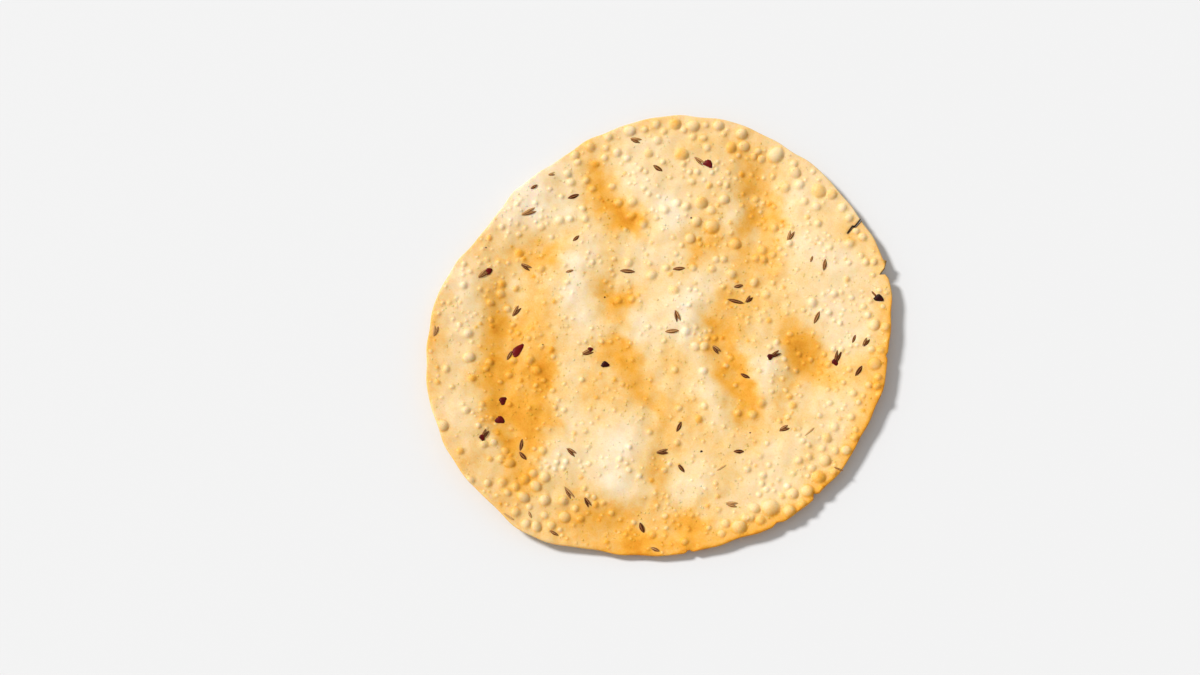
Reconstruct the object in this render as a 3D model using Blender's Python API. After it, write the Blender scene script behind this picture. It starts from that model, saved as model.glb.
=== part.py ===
"""A papadum: one thin, brittle, wavy disc of fried gram dough, blistered all over, with seeds baked into it.

The disc lies flat, shown side up. Its origin is under the middle, on the surface that it rests on. Each table
below is in millimetres and degrees. Headings turn anticlockwise from +X, seen from above.
"""

import math
import random

import bmesh
import bpy
import numpy as np
from mathutils import Matrix, Vector
from mathutils.geometry import delaunay_2d_cdt

MM = 0.001

# Driving sizes of the disc.
WIDTH = 178.5
THICKNESS = 1.1
THINNEST = 0.75
MIDDLE_HEIGHT = 2.2
RIM_LIFT = 2.3
FOOT_SINK = 0.3
FOOT_PAD_SHARE = 0.24
FOOT_PAD_CORNERS = 6
FOOT_PAD_CLEARANCE = 2.2

# The rim's radius, read every 15 degrees from +X.
RIM_RADII = (
    88.5, 91.5, 91.0, 91.5, 91.5, 91.5, 89.5, 86.0, 82.0, 81.0, 80.0, 85.5,
    89.0, 92.0, 94.5, 95.0, 95.5, 90.5, 89.5, 88.0, 89.0, 88.5, 87.5, 88.0,
)  # fmt: skip

# Waves that run round the rim: how many, how high, and turned by how much.
RIM_WAVES = ((2, 1.1, 35.0), (3, 0.9, 200.0), (5, 0.5, 80.0))

# Ripples in the rim's own outline: how many, how deep, and turned by how much.
RIM_RIPPLES = ((17, 0.22, 10.0), (29, 0.16, 140.0), (43, 0.12, 75.0))

# Small losses along the rim: where, how wide and how deep.
RIM_CHIPS = ((276.6, 3.0, 1.3), (299.5, 5.0, 1.0), (311.2, 3.2, 1.5), (353.0, 3.0, 0.8))

# The broken corner on the right, and the crack above it: corners from the rim inwards and out again.
BROKEN_CORNER = ((88.1, 28.4), (87.2, 25.2), (85.4, 22.9), (87.4, 22.9), (88.6, 21.2))
CRACK = ((79.3, 45.2), (76.4, 42.5), (75.6, 42.6), (73.4, 40.3), (75.2, 43.3), (76.2, 43.2), (78.4, 46.3))

# Hollows that reach down to what the disc rests on: x, y, length, width, heading.
FEET = (
    (-58.0, 5.0, 38.0, 17.0, 90.0),
    (40.0, 54.0, 38.0, 18.0, 90.0),
    (-14.0, -77.0, 30.0, 16.0, -10.0),
    (58.5, -14.0, 21.0, 20.0, 0.0),
)

# Other swells in the dough: x, y, length, width, heading, and height above or below the middle.
SWELLS = (
    (-60.0, -26.0, 26.0, 12.0, 95.0, -0.9),
    (-55.0, -46.0, 20.0, 12.0, -65.0, -0.7),
    (-44.0, -17.0, 22.0, 16.0, 90.0, -0.8),
    (-16.0, 56.0, 40.0, 14.0, -62.0, -1.0),
    (-42.0, 37.0, 24.0, 10.0, 35.0, -0.5),
    (35.0, 17.0, 18.0, 14.0, 0.0, -0.8),
    (26.0, -11.0, 38.0, 10.0, -66.0, -1.0),
    (-18.0, 16.0, 13.0, 13.0, 0.0, -0.6),
    (-17.0, -6.0, 12.0, 12.0, 0.0, -0.4),
    (-4.0, -28.0, 32.0, 12.0, -69.0, -0.7),
    (2.0, -54.0, 20.0, 9.0, -69.0, -0.5),
    (10.0, -77.0, 18.0, 16.0, 0.0, -0.5),
    (-48.0, 62.0, 18.0, 18.0, 0.0, 1.2),
    (-59.0, 46.0, 18.0, 18.0, 0.0, 1.2),
    (-32.0, 27.0, 32.0, 22.0, 90.0, 1.8),
    (-7.0, 61.0, 20.0, 18.0, 0.0, 1.1),
    (6.0, 46.0, 18.0, 16.0, 0.0, 1.1),
    (10.0, 9.0, 22.0, 20.0, 0.0, 1.7),
    (31.0, 47.0, 12.0, 11.0, 0.0, 0.8),
    (42.0, -14.0, 15.0, 13.0, 0.0, 1.0),
    (40.0, -25.0, 12.0, 10.0, 0.0, 0.7),
    (-15.0, -51.0, 38.0, 28.0, 90.0, 1.8),
    (-38.0, -50.0, 17.0, 15.0, 0.0, 1.0),
    (20.0, -29.0, 26.0, 11.0, -64.0, 1.3),
    (16.0, -61.0, 17.0, 15.0, 0.0, 1.0),
    (50.0, -46.0, 22.0, 18.0, 0.0, 1.1),
    (63.0, 27.0, 42.0, 32.0, 90.0, 1.3),
    (-73.0, 21.0, 18.0, 16.0, 0.0, 0.8),
    (-73.0, -38.0, 22.0, 16.0, 120.0, 0.9),
)

# The blisters that stand out: x, y and radius. The others follow from a rule.
BIG_BLISTERS = (
    (41.0, -71.0, 3.4), (46.0, 73.5, 3.2), (20.5, 43.5, 2.9), (62.5, 58.0, 2.9), (29.0, -78.5, 2.9),
    (9.0, 74.0, 2.6), (59.5, -59.0, 2.6), (48.0, -72.5, 2.6), (82.0, -14.0, 2.5), (16.5, 53.5, 2.5),
    (13.5, 85.5, 2.5), (55.0, -64.5, 2.5), (-83.0, -39.5, 2.4), (53.5, 66.0, 2.3), (-11.5, 84.0, 2.3),
    (6.5, 86.5, 2.3), (32.5, 82.0, 2.3), (33.5, 77.0, 2.3), (62.0, -52.5, 2.3), (82.5, 2.0, 2.3),
    (-47.5, -62.5, 2.3), (-52.0, -67.0, 2.3), (-44.0, -68.0, 2.3), (-36.5, -74.5, 2.3),
    (-73.5, -11.0, 2.3), (29.5, 36.5, 2.3), (23.5, 85.5, 2.2), (49.5, -65.5, 2.2), (35.0, -71.0, 2.2),
    (-57.5, -53.5, 2.1), (-44.0, -59.0, 2.1), (-47.0, -78.5, 2.1), (25.5, 55.0, 2.1), (14.5, 45.5, 2.1),
    (12.0, 38.5, 2.1), (28.5, 76.5, 2.1), (70.0, -48.5, 2.1), (67.5, 56.5, 2.1), (-3.0, 23.5, 2.0),
    (55.0, 61.0, 2.0), (74.0, 36.0, 1.9), (71.5, 51.0, 1.9), (59.0, 11.5, 1.9), (86.5, 1.0, 1.9),
    (-51.5, -60.0, 1.9), (-60.0, -61.5, 1.9), (-37.0, -68.0, 1.9), (-55.0, -73.0, 1.9),
    (-51.0, -77.5, 1.9), (-74.0, -1.0, 1.9), (-47.5, -15.5, 1.9), (-27.0, 77.5, 1.9),
    (-33.0, 74.0, 1.9), (-39.0, 46.5, 1.9), (2.0, 50.5, 1.9), (7.0, 53.5, 1.9), (10.5, 52.0, 1.9),
    (20.5, 50.5, 1.9), (40.0, 34.0, 1.9), (28.0, 24.0, 1.9), (5.5, 17.0, 1.9), (36.5, 20.5, 1.9),
    (41.0, 15.5, 1.9), (35.0, -33.5, 1.9), (13.5, -6.0, 1.9), (17.0, -6.0, 1.9), (-6.5, 45.0, 1.9),
    (63.0, -43.5, 1.9), (53.0, -70.0, 1.9), (49.5, 60.0, 1.9), (37.0, -76.0, 1.9), (-0.5, 80.0, 1.8),
    (-4.0, 74.5, 1.8), (-10.5, 54.0, 1.8), (-11.0, 48.5, 1.8), (-1.0, 86.5, 1.8), (-20.0, 81.5, 1.8),
    (-16.5, 75.0, 1.8), (-16.0, 54.0, 1.8), (66.0, -39.0, 1.8), (10.0, 0.0, 1.8), (24.0, -77.0, 1.8),
    (74.0, 46.5, 1.7), (-60.5, -52.0, 1.7), (-48.5, -57.5, 1.7), (-55.0, -63.0, 1.7),
    (-72.0, -61.0, 1.7), (-41.5, -78.0, 1.7), (-45.0, -48.5, 1.7), (-61.5, 16.0, 1.7),
    (-54.5, 32.5, 1.7), (-50.0, -11.5, 1.7), (-36.0, 66.0, 1.7), (-34.5, 62.5, 1.7), (45.0, 43.5, 1.7),
    (38.5, -29.0, 1.7), (31.5, -75.0, 1.7), (-12.0, 28.5, 1.7), (16.5, -16.0, 1.7), (53.0, 69.5, 1.7),
    (61.5, 51.5, 1.7), (79.0, 38.5, 1.7), (40.5, 72.0, 1.7), (19.0, 76.5, 1.6), (-18.5, 61.0, 1.6),
    (66.0, -48.5, 1.6), (73.5, -43.5, 1.6), (57.0, -55.5, 1.6), (82.5, -23.0, 1.6), (83.5, -26.5, 1.6),
    (17.5, 80.5, 1.6), (33.5, -75.0, 1.6), (22.5, -81.0, 1.6), (62.0, 44.5, 1.5), (50.5, 36.5, 1.5),
    (76.5, 41.0, 1.5), (80.0, 28.0, 1.5), (83.0, 28.0, 1.5), (67.5, 15.0, 1.5), (80.0, 6.0, 1.5),
    (81.0, -8.0, 1.5), (84.5, -8.5, 1.5), (83.0, -19.5, 1.5), (79.5, -22.5, 1.5), (73.5, -25.5, 1.5),
    (-67.0, -46.5, 1.5), (-59.0, -48.5, 1.5), (-65.5, -62.0, 1.5), (-76.0, -49.5, 1.5),
    (-58.0, -65.5, 1.5), (-44.0, -74.0, 1.5), (-32.5, -71.0, 1.5), (-30.5, -75.0, 1.5),
    (-3.5, -81.0, 1.5), (8.5, -84.0, 1.5), (-76.0, 18.5, 1.5), (-61.0, 20.0, 1.5), (-65.5, 12.0, 1.5),
    (-59.0, 10.0, 1.5), (-46.0, 26.0, 1.5), (-65.5, -12.5, 1.5), (-56.5, -11.5, 1.5),
    (-58.0, -17.5, 1.5), (-82.0, -16.0, 1.5), (-72.0, -19.5, 1.5), (-74.0, -33.0, 1.5),
    (-63.5, -45.5, 1.5), (-21.0, 77.0, 1.5), (-21.5, 73.0, 1.5), (-32.0, 71.0, 1.5), (-25.0, 70.5, 1.5),
    (-28.5, 63.5, 1.5), (-26.0, 60.0, 1.5), (-35.0, 47.0, 1.5), (-29.0, 47.0, 1.5), (-46.0, 43.5, 1.5),
    (-30.0, 51.5, 1.5), (37.5, 30.5, 1.5), (40.5, 30.0, 1.5), (44.0, 32.0, 1.5), (38.0, 56.0, 1.5),
    (22.0, 30.0, 1.5), (25.0, 30.0, 1.5), (2.5, 26.5, 1.5), (13.0, 26.5, 1.5), (20.5, 26.0, 1.5),
    (16.5, -30.5, 1.5), (14.5, -35.5, 1.5), (29.5, -33.0, 1.5), (32.5, -55.5, 1.5), (38.5, -58.0, 1.5),
    (52.0, -52.5, 1.5), (50.5, -30.0, 1.5), (-16.0, 13.0, 1.5), (-11.0, 13.5, 1.5), (5.5, -15.5, 1.5),
    (-12.5, 72.5, 1.5), (13.0, 62.5, 1.5), (72.5, -35.0, 1.5), (61.0, -47.5, 1.5), (65.0, -57.0, 1.5),
    (47.5, -62.5, 1.5), (57.0, 54.0, 1.5), (-5.5, 84.5, 1.4), (2.0, 83.5, 1.4), (10.0, 84.0, 1.4),
    (13.5, 81.0, 1.4), (37.5, 73.0, 1.4), (39.0, 75.0, 1.4), (15.0, 66.5, 1.4), (56.0, -51.0, 1.4),
    (60.5, -64.0, 1.4),
)  # fmt: skip

# Where the rule draws more and larger blisters: x, y, reach, how many more, and how much larger.
BLISTER_ZONES = (
    (20.0, 80.0, 24.0, 0.9, 1.0),
    (52.0, 64.0, 22.0, 0.7, 0.7),
    (46.0, -70.0, 22.0, 1.0, 1.3),
    (78.0, 15.0, 24.0, 0.9, 0.4),
    (74.0, -32.0, 24.0, 1.0, 0.55),
    (-46.0, -66.0, 22.0, 1.0, 0.7),
    (-72.0, 8.0, 26.0, 0.5, 0.15),
    (-62.0, 45.0, 22.0, 0.8, 0.1),
    (-8.0, -82.0, 20.0, 1.0, 0.0),
    (10.0, 42.0, 22.0, 0.5, 0.5),
    (36.0, 6.0, 22.0, 0.4, 0.4),
    (-44.0, -20.0, 20.0, 0.6, 0.0),
)

BLISTER_TRIES = 6000
BLISTER_CHANCE = 0.15
BLISTER_ZONE_CHANCE = 0.3
BLISTER_CLUMP = 15.0
BLISTER_RADIUS = 0.7
BLISTER_ZONE_RADIUS = 0.3
BLISTER_SPREAD = 0.33
BLISTER_SMALLEST = 0.4
BLISTER_LARGEST = 1.3
BLISTER_HEIGHT = 0.5
BLISTER_UNDER_SHARE = 0.45
BLISTER_GAP = 0.2
TOP_BLISTERS = 113
UNDER_BLISTERS = 24

# Seeds and flakes: x, y, length, heading.
SEEDS = (
    (-33.5, 56.5, 5.0, 20.0),
    (-51.0, 49.5, 6.5, 25.0),
    (-32.5, 38.5, 3.6, 45.0),
    (-0.5, 68.0, 4.5, -35.0),
    (16.0, 71.0, 5.5, -40.0),
    (19.5, 69.5, 4.2, -45.0),
    (51.0, 39.5, 6.0, 65.0),
    (64.0, 27.0, 5.0, 80.0),
    (-68.5, 23.5, 5.5, 40.0),
    (-52.0, 27.0, 5.0, -30.0),
    (-12.5, 25.0, 6.0, -5.0),
    (7.5, 26.0, 5.0, 5.0),
    (-55.5, 9.0, 5.5, 55.0),
    (-54.5, -7.0, 6.5, 50.0),
    (-58.0, -9.5, 4.4, 65.0),
    (-28.0, -8.5, 5.5, 20.0),
    (-21.0, -13.5, 3.2, -10.0),
    (30.5, 19.0, 3.8, 15.0),
    (29.5, 12.5, 7.0, -15.0),
    (34.5, 13.5, 4.0, 50.0),
    (6.5, 6.0, 5.0, -75.0),
    (4.5, 0.0, 5.5, 5.0),
    (21.5, -7.0, 4.4, -45.0),
    (44.0, -9.5, 6.0, 30.0),
    (32.5, -18.0, 4.3, -30.0),
    (60.5, 5.5, 5.5, 65.0),
    (74.5, -3.5, 3.6, 70.0),
    (79.0, -5.0, 4.4, 55.0),
    (68.0, -10.5, 6.5, 70.0),
    (76.0, -16.5, 5.0, 55.0),
    (84.5, 13.0, 5.0, -40.0),
    (-60.0, -28.0, 3.4, 45.0),
    (-61.0, -36.5, 3.8, -25.0),
    (-67.0, -42.5, 5.0, 60.0),
    (-53.0, -46.0, 5.0, 80.0),
    (-52.5, -50.5, 4.2, -50.0),
    (-34.0, -49.0, 5.0, -40.0),
    (-35.0, -65.0, 6.0, -55.0),
    (-28.0, -68.5, 4.2, -60.0),
    (-7.5, -78.0, 4.5, -70.0),
    (7.0, -38.5, 4.6, 65.0),
    (0.5, -48.5, 5.0, 10.0),
    (7.5, -55.0, 4.4, -55.0),
    (29.5, -48.5, 4.0, 0.0),
    (47.0, -39.5, 4.6, 20.0),
    (26.5, -69.5, 5.5, -10.0),
    (-49.0, 60.0, 3.2, 32.0),
    (-9.0, 80.0, 4.8, -15.0),
    (-42.0, 65.5, 3.6, 14.0),
    (59.0, 29.5, 2.8, 71.0),
    (-35.0, 24.5, 3.2, 15.0),
    (-86.5, -0.5, 4.6, 78.0),
    (-40.5, -81.0, 3.9, -30.0),
    (-49.5, -74.0, 3.2, -67.0),
    (-2.5, -87.0, 3.7, -25.0),
)
SEED_WIDTH_SHARE = 0.31
SEED_STANDS_OUT = 0.12
SEED_SIDES = 5
SEED_RINGS = ((-0.62, 0.62), (0.0, 1.0), (0.62, 0.62))

# Spacings of the modelled surface.
RIM_STEP = 2.9
TOP_STEP = 4.9
UNDER_STEP = 6.3
RIM_MARGIN = 1.7


def turned(x, y, place_x, place_y, heading):
    """Coordinates along and across a heading, from a place on the disc."""
    cosine = math.cos(math.radians(heading))
    sine = math.sin(math.radians(heading))
    along = (x - place_x) * cosine + (y - place_y) * sine
    across = (y - place_y) * cosine - (x - place_x) * sine
    return along, across


def hump(x, y, place):
    """A smooth hump of height 1 over an oval of the given place, length, width and heading."""
    place_x, place_y, length, width, heading = place
    along, across = turned(x, y, place_x, place_y, heading)
    return np.exp(-((2 * along / length) ** 2) - (2 * across / width) ** 2)


def wander(x, y, size, seed):
    """Smooth unevenness over the disc, mostly between -1 and 1, with crests about a size apart."""
    draw = random.Random(seed)
    total = 0.0
    for _ in range(9):
        heading = draw.uniform(0, 2 * math.pi)
        pace = 2 * math.pi / (size * draw.uniform(0.7, 1.6))
        along = x * math.cos(heading) + y * math.sin(heading)
        total = total + np.sin(pace * along + draw.uniform(0, 2 * math.pi))
    return total / 3


def rim_radius(azimuth):
    """Radius of the rim at azimuths in degrees: a smooth closed curve through RIM_RADII, with its ripples."""
    radii = np.array(RIM_RADII)
    step = 360.0 / len(radii)
    place = np.mod(azimuth, 360.0) / step
    index = np.floor(place).astype(int)
    part = place - index
    before, start, end, after = (radii[(index + k) % len(radii)] for k in (-1, 0, 1, 2))
    slope_in = (end - before) / 2
    slope_out = (after - start) / 2
    radius = (
        start
        + part * slope_in
        + part**2 * (3 * (end - start) - 2 * slope_in - slope_out)
        + part**3 * (2 * (start - end) + slope_in + slope_out)
    )
    for count, depth, turn in RIM_RIPPLES:
        radius = radius + depth * np.sin(np.radians(count * azimuth + turn))
    for where, width, depth in RIM_CHIPS:
        away = np.mod(azimuth - where + 180.0, 360.0) - 180.0
        across = np.radians(away) * WIDTH / 2 / (width / 2)
        radius = radius - depth * np.clip(1 - np.abs(across), 0, 1)
    return radius


def rim_share(x, y):
    """How far out a point lies, from 0 in the middle to 1 on the rim."""
    azimuth = np.degrees(np.arctan2(y, x))
    return np.hypot(x, y) / rim_radius(azimuth)


def rest_height(x, y):
    """Height of the sheet's middle before its feet are brought down."""
    share = rim_share(x, y)
    azimuth = np.arctan2(y, x)
    height = MIDDLE_HEIGHT + RIM_LIFT * share**5
    for count, rise, turn in RIM_WAVES:
        height = height + rise * share**2.5 * np.sin(count * azimuth + math.radians(turn))
    for *place, rise in SWELLS:
        height = height + rise * hump(x, y, place)
    return height


def foot_depths():
    """Depth of each foot's hollow that brings its middle down to the resting surface."""
    count = len(FEET)
    x = np.array([foot[0] for foot in FEET])
    y = np.array([foot[1] for foot in FEET])
    reach = np.array([hump(x, y, FEET[k]) for k in range(count)]).T
    level = THICKNESS / 2 - FOOT_SINK
    return np.linalg.solve(reach, rest_height(x, y) - level)


FOOT_DEPTHS = foot_depths()


def sheet_height(x, y):
    """Height of the sheet's middle."""
    height = rest_height(x, y)
    for place, depth in zip(FEET, FOOT_DEPTHS):
        height = height - depth * hump(x, y, place)
    return height


def swelling(x, y, blisters):
    """How far blisters, each an x, y and radius, stand out from the sheet."""
    rise = np.zeros_like(x)
    for place_x, place_y, radius in blisters:
        share = np.hypot(x - place_x, y - place_y) / radius
        rise = rise + BLISTER_HEIGHT * radius * np.clip(1 - share**2, 0, 1) ** 0.75
    return rise


def underside(x, y, blisters):
    """Height of the sheet's underside, flat where a foot meets the resting surface."""
    height = sheet_height(x, y) - THICKNESS / 2 - BLISTER_UNDER_SHARE * swelling(x, y, blisters)
    return np.maximum(height, 0.0)


def top_side(x, y, blisters):
    """Height of the sheet's shown side."""
    return np.maximum(sheet_height(x, y) + THICKNESS / 2, THINNEST) + swelling(x, y, blisters)


def blister_zone(x, y):
    """How many more and how much larger the blisters are at a place than in the middle of the disc."""
    more = 0.3 * float(rim_share(np.array(x), np.array(y))) ** 8
    larger = more
    for place_x, place_y, reach, zone_more, zone_larger in BLISTER_ZONES:
        nearness = math.exp(-(((x - place_x) ** 2 + (y - place_y) ** 2) / reach**2))
        more += zone_more * nearness
        larger += zone_larger * nearness
    return more, larger


def all_blisters():
    """Every blister as x, y and radius, the largest first, clear of each other and of the seeds."""
    draw = random.Random(7)
    tried = []
    for _ in range(BLISTER_TRIES):
        azimuth = draw.uniform(0, 360)
        distance = WIDTH / 2 * 1.06 * math.sqrt(draw.random())
        x = distance * math.cos(math.radians(azimuth))
        y = distance * math.sin(math.radians(azimuth))
        more, larger = blister_zone(x, y)
        clump = 1.0 + 0.9 * float(wander(x, y, BLISTER_CLUMP, 3))
        keep = draw.random() < (BLISTER_CHANCE + BLISTER_ZONE_CHANCE * more) * clump
        spread = draw.lognormvariate(0.0, BLISTER_SPREAD)
        radius = (BLISTER_RADIUS + BLISTER_ZONE_RADIUS * min(larger, 1.4)) * spread
        if keep and BLISTER_SMALLEST <= radius <= BLISTER_LARGEST:
            tried.append((x, y, radius))
    tried.sort(key=lambda blister: -blister[2])
    found = list(BIG_BLISTERS)
    for x, y, radius in tried:
        rim = float(rim_radius(np.degrees(np.arctan2(y, x))))
        if math.hypot(x, y) + radius > rim - 0.4:
            continue
        if any(math.hypot(x - a, y - b) < radius + r + BLISTER_GAP for a, b, r in found):
            continue
        if any(math.hypot(x - a, y - b) < radius + 0.3 * length for a, b, length, _ in SEEDS):
            continue
        found.append((x, y, radius))
    found.sort(key=lambda blister: -blister[2])
    return found


def rim_outline(step):
    """Corners of the rim about a step apart, anticlockwise, with the crack and the broken corner let in."""
    count = round(math.pi * WIDTH / step)
    azimuths = 360.0 * np.arange(count) / count
    radii = rim_radius(azimuths)
    corners = [
        (radius * math.cos(math.radians(azimuth)), radius * math.sin(math.radians(azimuth)))
        for azimuth, radius in zip(azimuths, radii)
    ]
    for loss in (tuple(reversed(BROKEN_CORNER)), CRACK):
        first = math.degrees(math.atan2(loss[0][1], loss[0][0]))
        last = math.degrees(math.atan2(loss[-1][1], loss[-1][0]))
        spare = math.degrees(0.45 * step / (WIDTH / 2))
        kept = [
            corner
            for corner in corners
            if not first - spare < math.degrees(math.atan2(corner[1], corner[0])) < last + spare
        ]
        after = [k for k, c in enumerate(kept) if math.degrees(math.atan2(c[1], c[0])) % 360 > last]
        corners = kept[: after[0]] + list(loss) + kept[after[0] :]
    return corners


def lattice(step, margin):
    """Points of a triangular lattice that stay a margin inside the rim."""
    points = []
    rows = math.ceil(WIDTH / 2 / (step * math.sqrt(0.75))) + 2
    for row in range(-rows, rows + 1):
        for column in range(-rows - 2, rows + 3):
            x = step * (column + 0.5 * (row % 2))
            y = step * math.sqrt(0.75) * row
            if math.hypot(x, y) < float(rim_radius(np.degrees(np.arctan2(y, x)))) - margin:
                points.append((x, y))
    return points


def clear_of(points, blisters, margin):
    """The points that lie outside every blister by a margin."""
    kept = np.array(points)
    for place_x, place_y, radius in blisters:
        away = np.hypot(kept[:, 0] - place_x, kept[:, 1] - place_y)
        kept = kept[away > radius + margin]
    return [tuple(point) for point in kept]


def foot_pads():
    """Corners of the flat patch in the middle of each foot."""
    points = []
    for place_x, place_y, length, width, heading in FEET:
        cosine = math.cos(math.radians(heading))
        sine = math.sin(math.radians(heading))
        for k in range(FOOT_PAD_CORNERS):
            angle = 2 * math.pi * (k + 0.5) / FOOT_PAD_CORNERS
            along = FOOT_PAD_SHARE * length / 2 * math.cos(angle)
            across = FOOT_PAD_SHARE * width / 2 * math.sin(angle)
            points.append((place_x + along * cosine - across * sine, place_y + along * sine + across * cosine))
    return points


def blister_rings(blisters):
    """The points that each blister is modelled by: its crown, a ring on its shoulder and one at its foot."""
    points = []
    for place_x, place_y, radius in blisters:
        points.append((place_x, place_y))
        for count, share, turn in ((6, 0.66, 0.0), (8, 1.0, 0.4)):
            for k in range(count):
                angle = 2 * math.pi * (k + turn) / count
                points.append(
                    (
                        place_x + share * radius * math.cos(angle),
                        place_y + share * radius * math.sin(angle),
                    )
                )
    return points


def inside_outline(points, outline, margin):
    """The points that lie inside a closed outline and at least a margin from it."""
    corners = np.array(outline)
    following = np.roll(corners, -1, axis=0)
    kept = []
    for point in points:
        place = np.array(point)
        side = following - corners
        share = ((place - corners) * side).sum(axis=1) / (side**2).sum(axis=1)
        nearest = corners + side * np.clip(share, 0, 1)[:, None]
        crosses = (corners[:, 1] > place[1]) != (following[:, 1] > place[1])
        rise = np.where(side[:, 1] == 0, 1.0, side[:, 1])
        cross_x = corners[:, 0] + (place[1] - corners[:, 1]) * side[:, 0] / rise
        inside = np.count_nonzero(crosses & (cross_x > place[0])) % 2 == 1
        if inside and np.hypot(*(nearest - place).T).min() > margin:
            kept.append(point)
    return kept


def triangulated(outline, inner):
    """Points and triangles that fill an outline, with the outline's corners first and in order."""
    count = len(outline)
    flat = [Vector(point) for point in list(outline) + list(inner)]
    sides = [(k, (k + 1) % count) for k in range(count)]
    points, _, triangles, origins, *_ = delaunay_2d_cdt(flat, sides, [list(range(count))], 1, 1e-6)
    first = {}
    for index, origin in enumerate(origins):
        for source in origin:
            first[source] = index
    order = [first[k] for k in range(count)]
    order += [index for index in range(len(points)) if index not in set(order)]
    place = {old: new for new, old in enumerate(order)}
    return [points[old] for old in order], [[place[corner] for corner in triangle] for triangle in triangles]


def add_side(mesh, outline, inner, blisters, height):
    """Adds one side of the sheet to a bmesh, and returns its corners along the rim."""
    points, triangles = triangulated(outline, inner)
    x = np.array([point[0] for point in points])
    y = np.array([point[1] for point in points])
    corners = [mesh.verts.new((a * MM, b * MM, c * MM)) for a, b, c in zip(x, y, height(x, y, blisters))]
    for triangle in triangles:
        a, b, c = (points[k] for k in triangle)
        anticlockwise = (b - a).cross(c - a) > 0
        loop = triangle if anticlockwise == (height is top_side) else triangle[::-1]
        mesh.faces.new([corners[k] for k in loop])
    return corners[: len(outline)]


def sheet_mesh(blisters):
    """The thin wavy sheet as one closed mesh: shown side, underside and the cut rim between them."""
    mesh = bmesh.new()
    outline = rim_outline(RIM_STEP)
    sides = []
    for step, shown, height in ((TOP_STEP, TOP_BLISTERS, top_side), (UNDER_STEP, UNDER_BLISTERS, underside)):
        largest = blisters[:shown]
        points = clear_of(lattice(step, RIM_MARGIN), largest, 0.22 * step) + blister_rings(largest)
        if height is underside:
            pads = foot_pads()
            points = clear_of(points, [(x, y, 0.0) for x, y in pads], FOOT_PAD_CLEARANCE) + pads
        inner = inside_outline(points, outline, 0.35)
        sides.append(add_side(mesh, outline, inner, largest, height))
    upper, lower = sides
    count = len(outline)
    for k in range(count):
        after = (k + 1) % count
        mesh.faces.new((lower[k], lower[after], upper[after]))
        mesh.faces.new((lower[k], upper[after], upper[k]))
    return mesh


def seed_mesh(seed):
    """A slim spindle that lies along its heading on the sheet, half sunk in it."""
    place_x, place_y, length, heading = seed
    along = Vector((math.cos(math.radians(heading)), math.sin(math.radians(heading)), 0.0))
    reach = np.array([-0.5, 0.0, 0.5]) * length
    surface = sheet_height(place_x + along.x * reach, place_y + along.y * reach) + THICKNESS / 2
    along.z = (surface[2] - surface[0]) / length
    along.normalize()
    across = Vector((0.0, 0.0, 1.0)).cross(along).normalized()
    up = along.cross(across)
    centre = Vector((place_x, place_y, max(surface[1], THINNEST) + SEED_STANDS_OUT))
    half_width = SEED_WIDTH_SHARE * length / 2
    mesh = bmesh.new()
    rings = []
    for share, girth in SEED_RINGS:
        ring = []
        for k in range(SEED_SIDES):
            angle = 2 * math.pi * k / SEED_SIDES + math.pi / 2
            offset = across * math.cos(angle) + up * 0.9 * math.sin(angle)
            point = centre + along * (share * length / 2) + offset * (girth * half_width)
            ring.append(mesh.verts.new(point * MM))
        rings.append(ring)
    start = mesh.verts.new((centre - along * (length / 2)) * MM)
    end = mesh.verts.new((centre + along * (length / 2)) * MM)
    for k in range(SEED_SIDES):
        after = (k + 1) % SEED_SIDES
        mesh.faces.new((start, rings[0][after], rings[0][k]))
        mesh.faces.new((end, rings[-1][k], rings[-1][after]))
        for near, far in zip(rings, rings[1:]):
            mesh.faces.new((near[k], near[after], far[after], far[k]))
    bmesh.ops.triangulate(mesh, faces=mesh.faces)
    bmesh.ops.recalc_face_normals(mesh, faces=mesh.faces)
    return mesh


def object_from(name, mesh, collection):
    """A new object in a collection that holds a bmesh, which is then freed."""
    data = bpy.data.meshes.new(name)
    mesh.to_mesh(data)
    mesh.free()
    made = bpy.data.objects.new(name, data)
    collection.objects.link(made)
    return made


def crust_material():
    """Toasted gram dough: golden, dry and faintly greasy."""
    material = bpy.data.materials.new("toasted_crust")
    material.use_nodes = True
    shader = material.node_tree.nodes["Principled BSDF"]
    shader.inputs["Base Color"].default_value = (0.86, 0.56, 0.21, 1.0)
    shader.inputs["Roughness"].default_value = 0.55
    shader.inputs["Metallic"].default_value = 0.0
    return material


def join_seeds(sheet):
    """Fuses the seeds to the sheet with one union, and removes their own objects."""
    scattered = bpy.data.collections.new("seeds")
    bpy.context.scene.collection.children.link(scattered)
    for index, seed in enumerate(SEEDS):
        object_from(f"seed_{index:02d}", seed_mesh(seed), scattered)
    union = sheet.modifiers.new("seeds", "BOOLEAN")
    union.operation = "UNION"
    union.operand_type = "COLLECTION"
    union.collection = scattered
    union.solver = "EXACT"
    graph = bpy.context.evaluated_depsgraph_get()
    joined = bpy.data.meshes.new_from_object(sheet.evaluated_get(graph))
    sheet.modifiers.clear()
    old = sheet.data
    sheet.data = joined
    bpy.data.meshes.remove(old)
    for seed in list(scattered.objects):
        bpy.data.objects.remove(seed)
    bpy.data.collections.remove(scattered)


def centre(sheet):
    """Puts the origin under the middle of the disc's own box."""
    points = np.array([vertex.co for vertex in sheet.data.vertices])
    low = points.min(axis=0)
    high = points.max(axis=0)
    sheet.data.transform(Matrix.Translation((-(low[0] + high[0]) / 2, -(low[1] + high[1]) / 2, -low[2])))


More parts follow.
